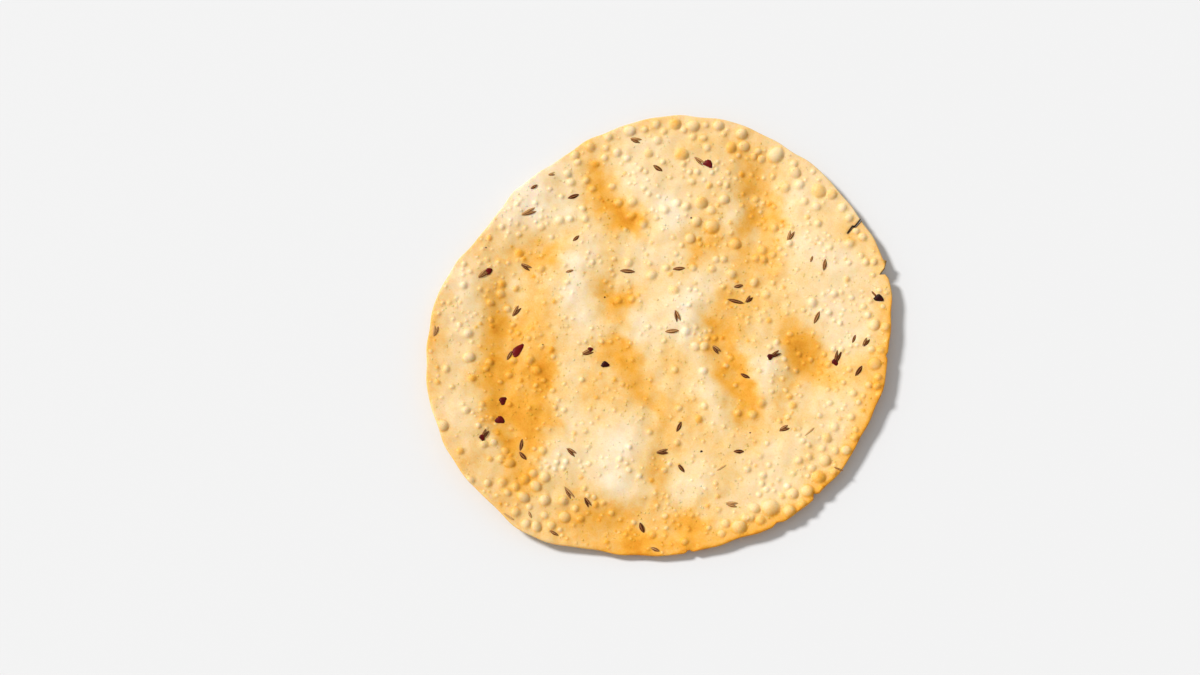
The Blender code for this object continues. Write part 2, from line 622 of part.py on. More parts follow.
def main():
    """Clears the scene and models the papadum."""
    for old in list(bpy.data.objects):
        bpy.data.objects.remove(old)
    sheet = object_from("papadum", sheet_mesh(all_blisters()), bpy.context.scene.collection)
    join_seeds(sheet)
    centre(sheet)
    sheet.data.materials.clear()
    sheet.data.materials.append(crust_material())
    sheet.data.shade_smooth()
    sheet.data.set_sharp_from_angle(angle=math.radians(60))


main()
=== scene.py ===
"""The looks of a papadum: a thin, wavy disc of fried gram dough, blistered, with seeds baked into it.

The crust stands for the one solid of the frame and keeps its form. Shape tables are in millimetres and
degrees, in the disc's own frame: the origin under its middle, +Z up, headings anticlockwise from +X.
"""

from __future__ import annotations

import logging
import math
import random
from dataclasses import dataclass, field
from enum import Enum
from typing import Any, NamedTuple, Sequence

import bpy
import numpy as np
from mathutils import Matrix, Vector
from mathutils.geometry import delaunay_2d_cdt


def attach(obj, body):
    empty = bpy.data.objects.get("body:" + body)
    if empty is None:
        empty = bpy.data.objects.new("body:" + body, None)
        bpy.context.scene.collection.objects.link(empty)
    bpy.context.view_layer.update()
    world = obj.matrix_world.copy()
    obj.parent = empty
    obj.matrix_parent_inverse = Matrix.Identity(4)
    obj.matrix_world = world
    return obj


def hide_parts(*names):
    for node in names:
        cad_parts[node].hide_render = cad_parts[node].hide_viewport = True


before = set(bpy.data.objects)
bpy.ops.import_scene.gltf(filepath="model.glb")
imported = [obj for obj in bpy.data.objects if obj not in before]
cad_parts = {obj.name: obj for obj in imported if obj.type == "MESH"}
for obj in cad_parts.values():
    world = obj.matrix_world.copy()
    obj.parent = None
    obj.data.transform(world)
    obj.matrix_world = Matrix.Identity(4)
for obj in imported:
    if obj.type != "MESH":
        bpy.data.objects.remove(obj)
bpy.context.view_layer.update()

LOG = logging.getLogger("papadum")
MM = 0.001
NODE = "papadum"
BODY = "root"
FAR = 99.0

# The rim's radius, read every 15 degrees from +X.
RIM_RADII = (
    88.5, 91.5, 91.0, 91.5, 91.5, 91.5, 89.5, 86.0, 82.0, 81.0, 80.0, 85.5,
    89.0, 92.0, 94.5, 95.0, 95.5, 90.5, 89.5, 88.0, 89.0, 88.5, 87.5, 88.0,
)  # fmt: skip

# Waves that run round the rim: how many, how high, and turned by how much.
RIM_WAVES = ((2, 1.1, 35.0), (3, 0.9, 200.0), (5, 0.5, 80.0))

# Ripples in the rim's own outline: how many, how deep, and turned by how much.
RIM_RIPPLES = ((17, 0.22, 10.0), (29, 0.16, 140.0), (43, 0.12, 75.0))

# Small losses along the rim: where, how wide and how deep.
RIM_CHIPS = ((276.6, 3.0, 1.3), (299.5, 5.0, 1.0), (311.2, 3.2, 1.5), (353.0, 3.0, 0.8))

# The broken corner on the right, and the crack above it: corners from the rim inwards and out again.
BROKEN_CORNER = ((88.1, 28.4), (87.2, 25.2), (85.4, 22.9), (87.4, 22.9), (88.6, 21.2))
CRACK = (
    (79.0, 45.55), (76.4, 42.75), (75.5, 42.85), (73.4, 40.3), (75.3, 43.05), (76.25, 42.95), (78.65, 45.95),
)  # fmt: skip

# Hollows that reach down to what the disc rests on: x, y, length, width, heading.
FEET = (
    (-58, 5, 38, 17, 90), (40, 54, 38, 18, 90), (-14, -77, 30, 16, -10), (58.5, -14, 21, 20, 0),
)  # fmt: skip

# Other swells in the dough: x, y, length, width, heading, and height above or below the middle.
SWELLS = (
    (-60, -26, 26, 12, 95, -0.9), (-55, -46, 20, 12, -65, -0.7), (-44, -17, 22, 16, 90, -0.8),
    (-16, 56, 40, 14, -62, -1), (-42, 37, 24, 10, 35, -0.5), (35, 17, 18, 14, 0, -0.8),
    (26, -11, 38, 10, -66, -1), (-18, 16, 13, 13, 0, -0.6), (-17, -6, 12, 12, 0, -0.4),
    (-4, -28, 32, 12, -69, -0.7), (2, -54, 20, 9, -69, -0.5), (10, -77, 18, 16, 0, -0.5),
    (-48, 62, 18, 18, 0, 1.2), (-59, 46, 18, 18, 0, 1.2), (-32, 27, 32, 22, 90, 1.8),
    (-7, 61, 20, 18, 0, 1.1), (6, 46, 18, 16, 0, 1.1), (10, 9, 22, 20, 0, 1.7), (31, 47, 12, 11, 0, 0.8),
    (42, -14, 15, 13, 0, 1), (40, -25, 12, 10, 0, 0.7), (-15, -51, 38, 28, 90, 1.8),
    (-38, -50, 17, 15, 0, 1), (20, -29, 26, 11, -64, 1.3), (16, -61, 17, 15, 0, 1),
    (50, -46, 22, 18, 0, 1.1), (63, 27, 42, 32, 90, 1.3), (-73, 21, 18, 16, 0, 0.8),
    (-73, -38, 22, 16, 120, 0.9),
)  # fmt: skip

# Where the crust took more colour in the pan: x, y, length, width, heading, and how much.
TOASTED_MARKS = (
    (-22.5, 66, 16, 15, 0, 0.32), (-17, 52, 26, 14, -50, 0.42), (-12, 46, 14, 11, -40, 0.38),
    (-15, 31, 12, 10, 0, 0.14), (-45, 15, 12, 10, 0, 0.14), (-44, 31.5, 30, 11, 35, 0.46),
    (-54, 30, 16, 11, 80, 0.12), (-53, 8, 30, 16, 90, 0.22), (-57, -8, 30, 16, 88, 0.34),
    (-57.5, -28, 28, 15, 95, 0.42), (-53, -44, 24, 13, -75, 0.36), (-53, -57, 14, 12, 90, 0.26),
    (-44.5, -16, 18, 12, 90, 0.44), (-46, -34, 30, 13, 88, 0.4), (-43, 6, 30, 15, 90, 0.2),
    (-15, 14.5, 18, 12, 10, 0.42), (-16, 8, 14, 8, 90, 0.22), (-15, -9, 17, 12, 0, 0.46),
    (-11, -16, 18, 11, -55, 0.22), (-15, -29, 14, 14, 0, 0.18), (-4.5, -25, 16, 10, -50, 0.34),
    (0.5, -36, 18, 8, -75, 0.2), (5, -47, 18, 10, -60, 0.18), (-1, -62, 18, 7, 65, 0.2),
    (-27, -24, 28, 12, 85, 0.26), (-28, -66, 14, 9, -45, 0.18), (-19, -80, 24, 17, -15, 0.36),
    (-7, -84, 16, 12, 0, 0.34), (9, -77, 19, 16, 0, 0.56), (43, 49.5, 34, 13, 94, 0.46),
    (21, 42, 26, 9, 62, 0.22), (12, 77, 16, 10, 0, 0.12), (36, 31, 22, 18, 0, 0.2),
    (40, 21, 15, 12, 30, 0.14), (31.5, 13, 20, 13, 15, 0.3), (31, 1.5, 14, 12, 0, 0.28),
    (15, 31, 14, 12, 0, 0.32), (76, -16, 14, 16, 0, 0.24), (23.5, 1, 12, 8, -60, 0.26),
    (28.5, -13.5, 24, 10, -65, 0.56), (34, -29, 18, 9, -75, 0.36), (36, -43, 18, 11, -20, 0.22),
    (5, -11.5, 12, 11, 0, 0.16), (12.5, -31, 22, 13, -60, 0.24), (24, -54, 18, 10, -60, 0.14),
    (50, 2, 20, 13, -60, 0.28), (60.5, -13, 22, 14, -65, 0.42), (48.5, -22, 12, 8, 60, 0.22),
    (47, -35, 14, 8, 90, 0.18), (75, 43, 13, 9, -50, 0.22), (-78.5, 8, 16, 6, -60, 0.14),
    (60, 22, 14, 8, 0, 0.08), (-70, -20, 12, 8, 0, 0.1),
)  # fmt: skip

# Where it stayed paler, in the same terms. Some marks are partly painted light, set to lighten slopes that
# turn away from the key light, as at (-74, 17), (-61, 17) and (14, 1).
PALE_MARKS = (
    (-47, 59, 30, 22, 42, 0.58), (-54, 45, 26, 16, 50, 0.32), (-8, 68, 24, 20, 90, 0.2),
    (6, 46, 16, 14, 90, 0.26), (2, 56, 12, 12, 0, 0.14), (23, 63, 14, 14, 0, 0.1),
    (30.5, 52, 24, 12, 90, 0.31), (0, 51, 34, 12, 90, 0.12), (-62, -46, 14, 14, 0, 0.2),
    (52, 58, 24, 12, 90, 0.18), (-31, 27, 26, 18, 80, 0.42), (-11.5, 33, 12, 8, 0, 0.2),
    (-29, 10, 20, 14, 90, 0.34), (-8.5, 2, 13, 13, 0, 0.22), (3, 15, 16, 13, 0, 0.2),
    (12.5, 10, 22, 12, 80, 0.36), (5, 0, 14, 10, 0, 0.16), (14, 1, 13, 13, 0, 0.28),
    (0, 31, 12, 10, 0, 0.14), (22.5, 21.5, 13, 12, 0, 0.12), (15.5, -17, 20, 9, -60, 0.22),
    (22.5, -33, 20, 9, -65, 0.22), (44.5, -14.5, 13, 13, 0, 0.42), (41, -26.5, 10, 9, 0, 0.24),
    (63, 34, 28, 20, 0, 0.12), (73, 10, 24, 34, 0, 0.14), (50, -46, 16, 12, 0, 0.14),
    (37, -57, 22, 14, 0, 0.12), (-16, -49, 30, 22, 80, 0.36), (-11, -62, 20, 12, 0, 0.28),
    (-40, -52, 16, 9, 0, 0.34), (-34.5, -39, 13, 12, 90, 0.12), (12.5, -64, 18, 11, 0, 0.2),
    (-71.5, -36, 22, 13, 90, 0.16), (-75, 0, 18, 44, 0, 0.16), (-74, 17, 20, 24, 0, 0.24),
    (-61, 17, 20, 14, 90, 0.34),
)  # fmt: skip

# The blisters that stand out: the x and y of each, by radius. The others follow from a rule.
BIG_BLISTERS = {
    3.4: ((41, -71),),
    3.2: ((46, 73.5),),
    2.9: ((20.5, 43.5), (62.5, 58), (29, -78.5),),
    2.6: ((9, 74), (59.5, -59), (48, -72.5),),
    2.5: ((82, -14), (16.5, 53.5), (13.5, 85.5), (55, -64.5),),
    2.4: ((-83, -39.5),),
    2.3: (
        (53.5, 66), (-11.5, 84), (6.5, 86.5), (32.5, 82), (33.5, 77), (62, -52.5), (82.5, 2),
        (-47.5, -62.5), (-52, -67), (-44, -68), (-36.5, -74.5), (-73.5, -11), (29.5, 36.5),
    ),
    2.2: ((23.5, 85.5), (49.5, -65.5), (35, -71),),
    2.1: (
        (-57.5, -53.5), (-44, -59), (-47, -78.5), (25.5, 55), (14.5, 45.5), (12, 38.5), (28.5, 76.5),
        (70, -48.5), (67.5, 56.5),
    ),
    2: ((-3, 23.5), (55, 61),),
    1.9: (
        (74, 36), (71.5, 51), (59, 11.5), (86.5, 1), (-51.5, -60), (-60, -61.5), (-37, -68), (-55, -73),
        (-51, -77.5), (-74, -1), (-47.5, -15.5), (-27, 77.5), (-33, 74), (-39, 46.5), (2, 50.5), (7, 53.5),
        (10.5, 52), (20.5, 50.5), (40, 34), (28, 24), (5.5, 17), (36.5, 20.5), (41, 15.5), (35, -33.5),
        (13.5, -6), (17, -6), (-6.5, 45), (63, -43.5), (53, -70), (49.5, 60), (37, -76),
    ),
    1.8: (
        (-0.5, 80), (-4, 74.5), (-10.5, 54), (-11, 48.5), (-1, 86.5), (-20, 81.5), (-16.5, 75), (-16, 54),
        (66, -39), (10, 0), (24, -77),
    ),
    1.7: (
        (74, 46.5), (-60.5, -52), (-48.5, -57.5), (-55, -63), (-72, -61), (-41.5, -78), (-45, -48.5),
        (-61.5, 16), (-54.5, 32.5), (-50, -11.5), (-36, 66), (-34.5, 62.5), (45, 43.5), (38.5, -29),
        (31.5, -75), (-12, 28.5), (16.5, -16), (53, 69.5), (61.5, 51.5), (79, 38.5), (40.5, 72),
    ),
    1.6: (
        (19, 76.5), (-18.5, 61), (66, -48.5), (73.5, -43.5), (57, -55.5), (82.5, -23), (83.5, -26.5),
        (17.5, 80.5), (33.5, -75), (22.5, -81),
    ),
    1.5: (
        (62, 44.5), (50.5, 36.5), (76.5, 41), (80, 28), (83, 28), (67.5, 15), (80, 6), (81, -8),
        (84.5, -8.5), (83, -19.5), (79.5, -22.5), (73.5, -25.5), (-67, -46.5), (-59, -48.5), (-65.5, -62),
        (-76, -49.5), (-58, -65.5), (-44, -74), (-32.5, -71), (-30.5, -75), (-3.5, -81), (8.5, -84),
        (-76, 18.5), (-61, 20), (-65.5, 12), (-59, 10), (-46, 26), (-65.5, -12.5), (-56.5, -11.5),
        (-58, -17.5), (-82, -16), (-72, -19.5), (-74, -33), (-63.5, -45.5), (-21, 77), (-21.5, 73),
        (-32, 71), (-25, 70.5), (-28.5, 63.5), (-26, 60), (-35, 47), (-29, 47), (-46, 43.5), (-30, 51.5),
        (37.5, 30.5), (40.5, 30), (44, 32), (38, 56), (22, 30), (25, 30), (2.5, 26.5), (13, 26.5),
        (20.5, 26), (16.5, -30.5), (14.5, -35.5), (29.5, -33), (32.5, -55.5), (38.5, -58), (52, -52.5),
        (50.5, -30), (-16, 13), (-11, 13.5), (5.5, -15.5), (-12.5, 72.5), (13, 62.5), (72.5, -35),
        (61, -47.5), (65, -57), (47.5, -62.5), (57, 54),
    ),
    1.4: (
        (-5.5, 84.5), (2, 83.5), (10, 84), (13.5, 81), (37.5, 73), (39, 75), (15, 66.5), (56, -51),
        (60.5, -64),
    ),
}  # fmt: skip

# Where the rule draws more and larger blisters: x, y, reach, how many more, and how much larger.
BLISTER_ZONES = (
    (20, 80, 24, 0.9, 1), (52, 64, 22, 0.7, 0.7), (46, -70, 22, 1, 1.3), (78, 15, 24, 0.9, 0.4),
    (74, -32, 24, 1, 0.55), (-46, -66, 22, 1, 0.7), (-72, 8, 26, 0.5, 0.15), (-62, 45, 22, 0.8, 0.1),
    (-8, -82, 20, 1, 0), (10, 42, 22, 0.5, 0.5), (36, 6, 22, 0.4, 0.4), (-44, -20, 20, 0.6, 0),
)  # fmt: skip


# The rings that model blisters above a radius: how many points, and how far out.
BLISTER_RINGS = (
    (2.0, ((6, 0.3), (10, 0.58), (14, 0.8), (18, 0.95), (18, 1.03), (16, 1.16))),
    (1.0, ((6, 0.42), (9, 0.76), (12, 0.96), (12, 1.12))),
    (0.0, ((6, 0.6), (8, 0.97), (8, 1.18))),
)
UNDER_RINGS = ((6, 0.6), (8, 1.0))


class Kind(Enum):
    """What a thing baked into the dough is."""

    SEED = "seed"
    SPLIT = "split seed"
    FLAKE = "flake"
    PEPPER = "pepper"
    STEM = "stem"


class Spice(NamedTuple):
    """One thing baked into the dough. Its tone runs from 0, dark, to 1, pale."""

    x: float
    y: float
    length: float
    heading: float
    kind: Kind
    tone: float


SEED, SPLIT, FLAKE, PEPPER, STEM = Kind

# The seeds and flakes, which lie where the solid has them.
SPICES = [
    Spice(*row)
    for row in (
        (-33.5, 56.5, 5, 20, SEED, 0.15), (-51, 49.5, 6.5, 25, SPLIT, 0.7),
        (-32.5, 38.5, 3.6, 45, SEED, 0.3), (-0.5, 68, 4.5, -35, SEED, 0.3),
        (16, 71, 5.5, -40, SPLIT, 0.65), (19.5, 69.5, 4.2, -45, FLAKE, 0.6), (51, 39.5, 6, 65, SPLIT, 0.6),
        (64, 27, 5, 80, SEED, 0.45), (-68.5, 23.5, 5.5, 40, SPLIT, 0.6), (-52, 27, 5, -30, SPLIT, 0.35),
        (-12.5, 25, 6, -5, SEED, 0.4), (7.5, 26, 5, 5, SEED, 0.4), (-55.5, 9, 5.5, 55, SPLIT, 0.35),
        (-54.5, -7, 6.5, 50, FLAKE, 0.65), (-58, -9.5, 4.4, 65, SEED, 0.4),
        (-28, -8.5, 5.5, 20, SPLIT, 0.45), (-21, -13.5, 3.2, -10, PEPPER, 0.1),
        (30.5, 19, 3.8, 15, SEED, 0.35), (29.5, 12.5, 7, -15, SEED, 0.25), (34.5, 13.5, 4, 50, SPLIT, 0.2),
        (6.5, 6, 5, -75, SPLIT, 0.45), (4.5, 0, 5.5, 5, SEED, 0.65), (21.5, -7, 4.4, -45, SPLIT, 0.4),
        (44, -9.5, 6, 30, SPLIT, 0.15), (32.5, -18, 4.3, -30, SEED, 0.15), (60.5, 5.5, 5.5, 65, SEED, 0.5),
        (74.5, -3.5, 3.6, 70, SEED, 0.3), (79, -5, 4.4, 55, SPLIT, 0.3), (68, -10.5, 6.5, 70, SPLIT, 0.1),
        (76, -16.5, 5, 55, SEED, 0.15), (84.7, 12.7, 3.8, -28, PEPPER, 0), (-60, -28, 3.4, 45, FLAKE, 0.4),
        (-61, -36.5, 3.8, -25, FLAKE, 0.45), (-67, -42.5, 5, 60, SPLIT, 0.2),
        (-53, -46, 5, 80, SEED, 0.25), (-52.5, -50.5, 4.2, -50, SEED, 0.25),
        (-34, -49, 5, -40, SPLIT, 0.4), (-35, -65, 6, -55, SPLIT, 0.55),
        (-28, -68.5, 4.2, -60, SPLIT, 0.2), (-7.5, -78, 4.5, -70, SEED, 0.1),
        (7, -38.5, 4.6, 65, SEED, 0.2), (0.5, -48.5, 5, 10, SPLIT, 0.35), (7.5, -55, 4.4, -55, SEED, 0.15),
        (29.5, -48.5, 4, 0, SEED, 0.15), (47, -39.5, 4.6, 20, SPLIT, 0.45),
        (26.5, -69.5, 5.5, -10, SPLIT, 0.85), (-49, 60, 3.2, 32, SEED, 0.35),
        (-9, 80, 4.8, -15, SPLIT, 0.55), (-42, 65.5, 3.6, 14, SPLIT, 0.7), (59, 29.5, 2.8, 71, SEED, 0.6),
        (-35, 24.5, 3.2, 15, SEED, 0.6), (-86.5, -0.5, 4.6, 78, SPLIT, 0.85),
        (-40.5, -81, 3.9, -30, SEED, 0.4), (-49.5, -74, 3.2, -67, SEED, 0.7),
        (-2.5, -87, 3.7, -25, SEED, 0.5),
    )
]  # fmt: skip

# Stalks, flakes and specks that are too fine for the solid.
LOOSE_BITS = [
    Spice(*row)
    for row in (
        (56.5, -41, 5.3, 43, STEM, 0.4), (23, -55, 4.6, 32, STEM, 0.45), (-57.5, -75, 5, -33, STEM, 0.5),
        (67, -56, 3.8, -25, STEM, 0.1), (82.8, 14.6, 3.2, -50, STEM, 0), (-66, 24.9, 2.9, 35, FLAKE, 0.55),
        (-26.8, -7.4, 2.4, 20, FLAKE, 0.5), (42.4, -10.4, 2.7, 35, FLAKE, 0.3),
        (67.3, -12, 3, 70, FLAKE, 0.35), (-67.6, -43.6, 2.8, 60, FLAKE, 0.45),
        (12.5, 47, 0.8, 0, PEPPER, 0.2), (15.4, -48.4, 1.1, 0, PEPPER, 0),
        (-21.3, 14.3, 0.7, 0, PEPPER, 0.2), (-45.2, -5.3, 0.7, 0, PEPPER, 0.2),
        (-67.5, 34.4, 0.8, 0, PEPPER, 0.2), (34, -41, 0.7, 0, PEPPER, 0.3),
    )
]  # fmt: skip


Colour = tuple[float, float, float]


class Blister(NamedTuple):
    """One bubble in the dough, with how far it is from round, and how toasted its crown is."""

    x: float
    y: float
    radius: float
    stretch: float
    heading: float
    tint: float


def direction(heading: float) -> tuple[float, float]:
    """The x and y of a step of 1 along a heading in degrees."""
    return math.cos(math.radians(heading)), math.sin(math.radians(heading))


def azimuth_of(x: float, y: float) -> float:
    """Azimuth of a point in degrees."""
    return math.degrees(math.atan2(y, x))


def stood(name: str, data: Any) -> bpy.types.Object:
    """A new object in the scene, at the origin."""
    thing = bpy.data.objects.new(name, data)
    bpy.context.scene.collection.objects.link(thing)
    return thing


def store(data: bpy.types.Mesh, name: str, values: Any, kind: str = "FLOAT") -> None:
    """Keeps a number, or three for FLOAT_VECTOR, on each point of a mesh."""
    attribute = data.attributes.new(name, kind, "POINT")
    attribute.data.foreach_set("vector" if kind == "FLOAT_VECTOR" else "value", values)


def turned(x: Any, y: Any, place_x: float, place_y: float, heading: float) -> tuple[Any, Any]:
    """Coordinates along and across a heading, from a place on the disc.

    Args:
        x, y: the points.
        place_x, place_y: the place.
        heading: the heading in degrees.

    Returns:
        How far the points lie along the heading, and how far across it.
    """
    cosine, sine = direction(heading)
    along = (x - place_x) * cosine + (y - place_y) * sine
    across = (y - place_y) * cosine - (x - place_x) * sine
    return along, across


def hump(x: Any, y: Any, place: Sequence[float]) -> Any:
    """A smooth hump of height 1 over an oval.

    Args:
        x, y: the points.
        place: the oval's x, y, length, width and heading.

    Returns:
        The hump's height at the points.
    """
    place_x, place_y, length, width, heading = place
    along, across = turned(x, y, place_x, place_y, heading)
    return np.exp(-((2 * along / length) ** 2) - (2 * across / width) ** 2)


def wander(x: Any, y: Any, size: float, seed: int) -> Any:
    """Smooth unevenness over the disc.

    Args:
        x, y: the points.
        size: about how far apart its crests are.
        seed: which of the many it is.

    Returns:
        Its value at the points, mostly between -1 and 1.
    """
    draw = random.Random(seed)
    total = 0.0
    for _ in range(9):
        heading = draw.uniform(0, 2 * math.pi)
        pace = 2 * math.pi / (size * draw.uniform(0.7, 1.6))
        along = x * math.cos(heading) + y * math.sin(heading)
        total = total + np.sin(pace * along + draw.uniform(0, 2 * math.pi))
    return total / 3


def smooth_step(low: float, high: float, value: Any) -> Any:
    """A value's smooth climb from 0 at a low mark to 1 at a high one."""
    share = np.clip((value - low) / (high - low), 0, 1)
    return share * share * (3 - 2 * share)


@dataclass
class DiscForm:
    """The disc's form, worked out as its solid's is: rim, swells, feet and blisters, in millimetres."""

    width: float = 178.5
    thickness: float = 1.1
    thinnest: float = 0.75
    middle_height: float = 2.2
    rim_lift: float = 2.3
    foot_sink: float = 0.3
    solid_rim_step: float = 2.9
    blister_tries: int = 6000
    blister_chance: float = 0.15
    blister_zone_chance: float = 0.3
    blister_clump: float = 15.0
    blister_radius: float = 0.7
    blister_zone_radius: float = 0.3
    blister_spread: float = 0.33
    blister_smallest: float = 0.4
    blister_largest: float = 1.3
    blister_under_share: float = 0.45
    blister_gap: float = 0.2
    blister_rim_gap: float = 0.4
    blister_seed_gap: float = 0.3
    blister_zone_most: float = 1.4
    least_stretch: float = 0.92
    most_stretch: float = 1.08
    toasted_crowns: float = 0.12
    toasted_tint: float = 0.22
    palest_tint: float = -0.16
    foot_depths: np.ndarray = field(init=False)
    shift: tuple[float, float] = field(init=False)

    def __post_init__(self) -> None:
        """Works out how deep each foot's hollow is, and where the solid's origin lies."""
        x = np.array([foot[0] for foot in FEET])
        y = np.array([foot[1] for foot in FEET])
        reach = np.array([hump(x, y, foot) for foot in FEET]).T
        level = self.thickness / 2 - self.foot_sink
        self.foot_depths = np.linalg.solve(reach, self.rest_height(x, y) - level)
        corners = np.array(self.rim_outline(self.solid_rim_step))
        middle = (corners.min(axis=0) + corners.max(axis=0)) / 2
        self.shift = (-float(middle[0]), -float(middle[1]))

    def rim_radius(self, azimuth: Any) -> Any:
        """Radius of the rim: a smooth closed curve through RIM_RADII, with its ripples and chips.

        Args:
            azimuth: azimuths in degrees.

        Returns:
            The radii at those azimuths.
        """
        radii = np.array(RIM_RADII)
        step = 360.0 / len(radii)
        place = np.mod(azimuth, 360.0) / step
        index = np.floor(place).astype(int)
        part = place - index
        before, start, end, after = (radii[(index + k) % len(radii)] for k in (-1, 0, 1, 2))
        slope_in = (end - before) / 2
        slope_out = (after - start) / 2
        radius = (
            start
            + part * slope_in
            + part**2 * (3 * (end - start) - 2 * slope_in - slope_out)
            + part**3 * (2 * (start - end) + slope_in + slope_out)
        )
        for count, depth, turn in RIM_RIPPLES:
            radius = radius + depth * np.sin(np.radians(count * azimuth + turn))
        for where, width, depth in RIM_CHIPS:
            away = np.mod(azimuth - where + 180.0, 360.0) - 180.0
            across = np.radians(away) * self.width / 2 / (width / 2)
            radius = radius - depth * np.clip(1 - np.abs(across), 0, 1)
        return radius

    def rim_share(self, x: Any, y: Any) -> Any:
        """How far out points lie, from 0 in the middle to 1 on the rim."""
        return np.hypot(x, y) / self.rim_radius(np.degrees(np.arctan2(y, x)))

    def rest_height(self, x: Any, y: Any) -> Any:
        """Height of the sheet's middle before its feet are brought down."""
        share = self.rim_share(x, y)
        azimuth = np.arctan2(y, x)
        height = self.middle_height + self.rim_lift * share**5
        for count, rise, turn in RIM_WAVES:
            height = height + rise * share**2.5 * np.sin(count * azimuth + math.radians(turn))
        for *place, rise in SWELLS:
            height = height + rise * hump(x, y, place)
        return height

    def sheet_height(self, x: Any, y: Any) -> Any:
        """Height of the sheet's middle."""
        height = self.rest_height(x, y)
        for place, depth in zip(FEET, self.foot_depths):
            height = height - depth * hump(x, y, place)
        return height

    def top_height(self, x: Any, y: Any) -> Any:
        """Height of the shown side without its blisters."""
        return np.maximum(self.sheet_height(x, y) + self.thickness / 2, self.thinnest)

    def rim_outline(self, step: float) -> list[tuple[float, float]]:
        """Corners of the rim, anticlockwise, with the crack and the broken corner let in.

        Args:
            step: about how far apart the corners are.

        Returns:
            The corners.
        """
        count = round(math.pi * self.width / step)
        azimuths = 360.0 * np.arange(count) / count
        radii = self.rim_radius(azimuths)
        corners = []
        for azimuth, radius in zip(azimuths, radii):
            cosine, sine = direction(azimuth)
            corners.append((radius * cosine, radius * sine))
        spare = math.degrees(0.45 * step / (self.width / 2))
        for loss in (self.divided(BROKEN_CORNER[::-1], step), self.divided(CRACK, step)):
            first, last = azimuth_of(*loss[0]), azimuth_of(*loss[-1])
            kept = [corner for corner in corners if not first - spare < azimuth_of(*corner) < last + spare]
            after = [k for k, corner in enumerate(kept) if azimuth_of(*corner) % 360 > last]
            corners = kept[: after[0]] + loss + kept[after[0] :]
        return corners

    @staticmethod
    def divided(line: Sequence[tuple[float, float]], step: float) -> list[tuple[float, float]]:
        """A line with corners added so that none are more than a step apart."""
        corners = [line[0]]
        for start, end in zip(line, line[1:]):
            count = math.ceil(math.dist(start, end) / step)
            for k in range(1, count + 1):
                corners.append(tuple(a + (b - a) * k / count for a, b in zip(start, end)))
        return corners

    def place(self, x: float, y: float, z: float) -> tuple[float, float, float]:
        """A point of the form in metres, measured from the solid's own origin."""
        return (x + self.shift[0]) * MM, (y + self.shift[1]) * MM, z * MM

    def blister_zone(self, x: float, y: float) -> tuple[float, float]:
        """How many more and how much larger the blisters are at a place than in the middle of the disc."""
        more = 0.3 * float(self.rim_share(np.array(x), np.array(y))) ** 8
        larger = more
        for place_x, place_y, reach, zone_more, zone_larger in BLISTER_ZONES:
            nearness = math.exp(-(((x - place_x) ** 2 + (y - place_y) ** 2) / reach**2))
            more += zone_more * nearness
            larger += zone_larger * nearness
        return more, larger

    def blisters(self) -> list[Blister]:
        """Every blister, the largest first, clear of each other and of the seeds."""
        draw = random.Random(7)
        look = random.Random(8)
        tried = []
        for _ in range(self.blister_tries):
            cosine, sine = direction(draw.uniform(0, 360))
            distance = self.width / 2 * 1.06 * math.sqrt(draw.random())
            x, y = distance * cosine, distance * sine
            more, larger = self.blister_zone(x, y)
            clump = 1.0 + 0.9 * float(wander(x, y, self.blister_clump, 3))
            keep = draw.random() < (self.blister_chance + self.blister_zone_chance * more) * clump
            spread = draw.lognormvariate(0.0, self.blister_spread)
            larger = min(larger, self.blister_zone_most)
            radius = (self.blister_radius + self.blister_zone_radius * larger) * spread
            if keep and self.blister_smallest <= radius <= self.blister_largest:
                tried.append((x, y, radius))
        tried.sort(key=lambda blister: -blister[2])
        found = [(x, y, radius) for radius, places in BIG_BLISTERS.items() for x, y in places]
        for x, y, radius in tried:
            rim = float(self.rim_radius(np.degrees(np.arctan2(y, x))))
            if math.hypot(x, y) + radius > rim - self.blister_rim_gap:
                continue
            if any(math.hypot(x - a, y - b) < radius + r + self.blister_gap for a, b, r in found):
                continue
            seed_gap = self.blister_seed_gap
            if any(math.hypot(x - s.x, y - s.y) < radius + seed_gap * s.length for s in SPICES):
                continue
            found.append((x, y, radius))
        found.sort(key=lambda blister: -blister[2])
        return [
            Blister(
                *blister,
                stretch=look.uniform(self.least_stretch, self.most_stretch),
                heading=look.uniform(0, 180),
                tint=self.toasted_tint
                if look.random() < self.toasted_crowns
                else look.uniform(self.palest_tint, 0.0),
            )
            for blister in found
        ]


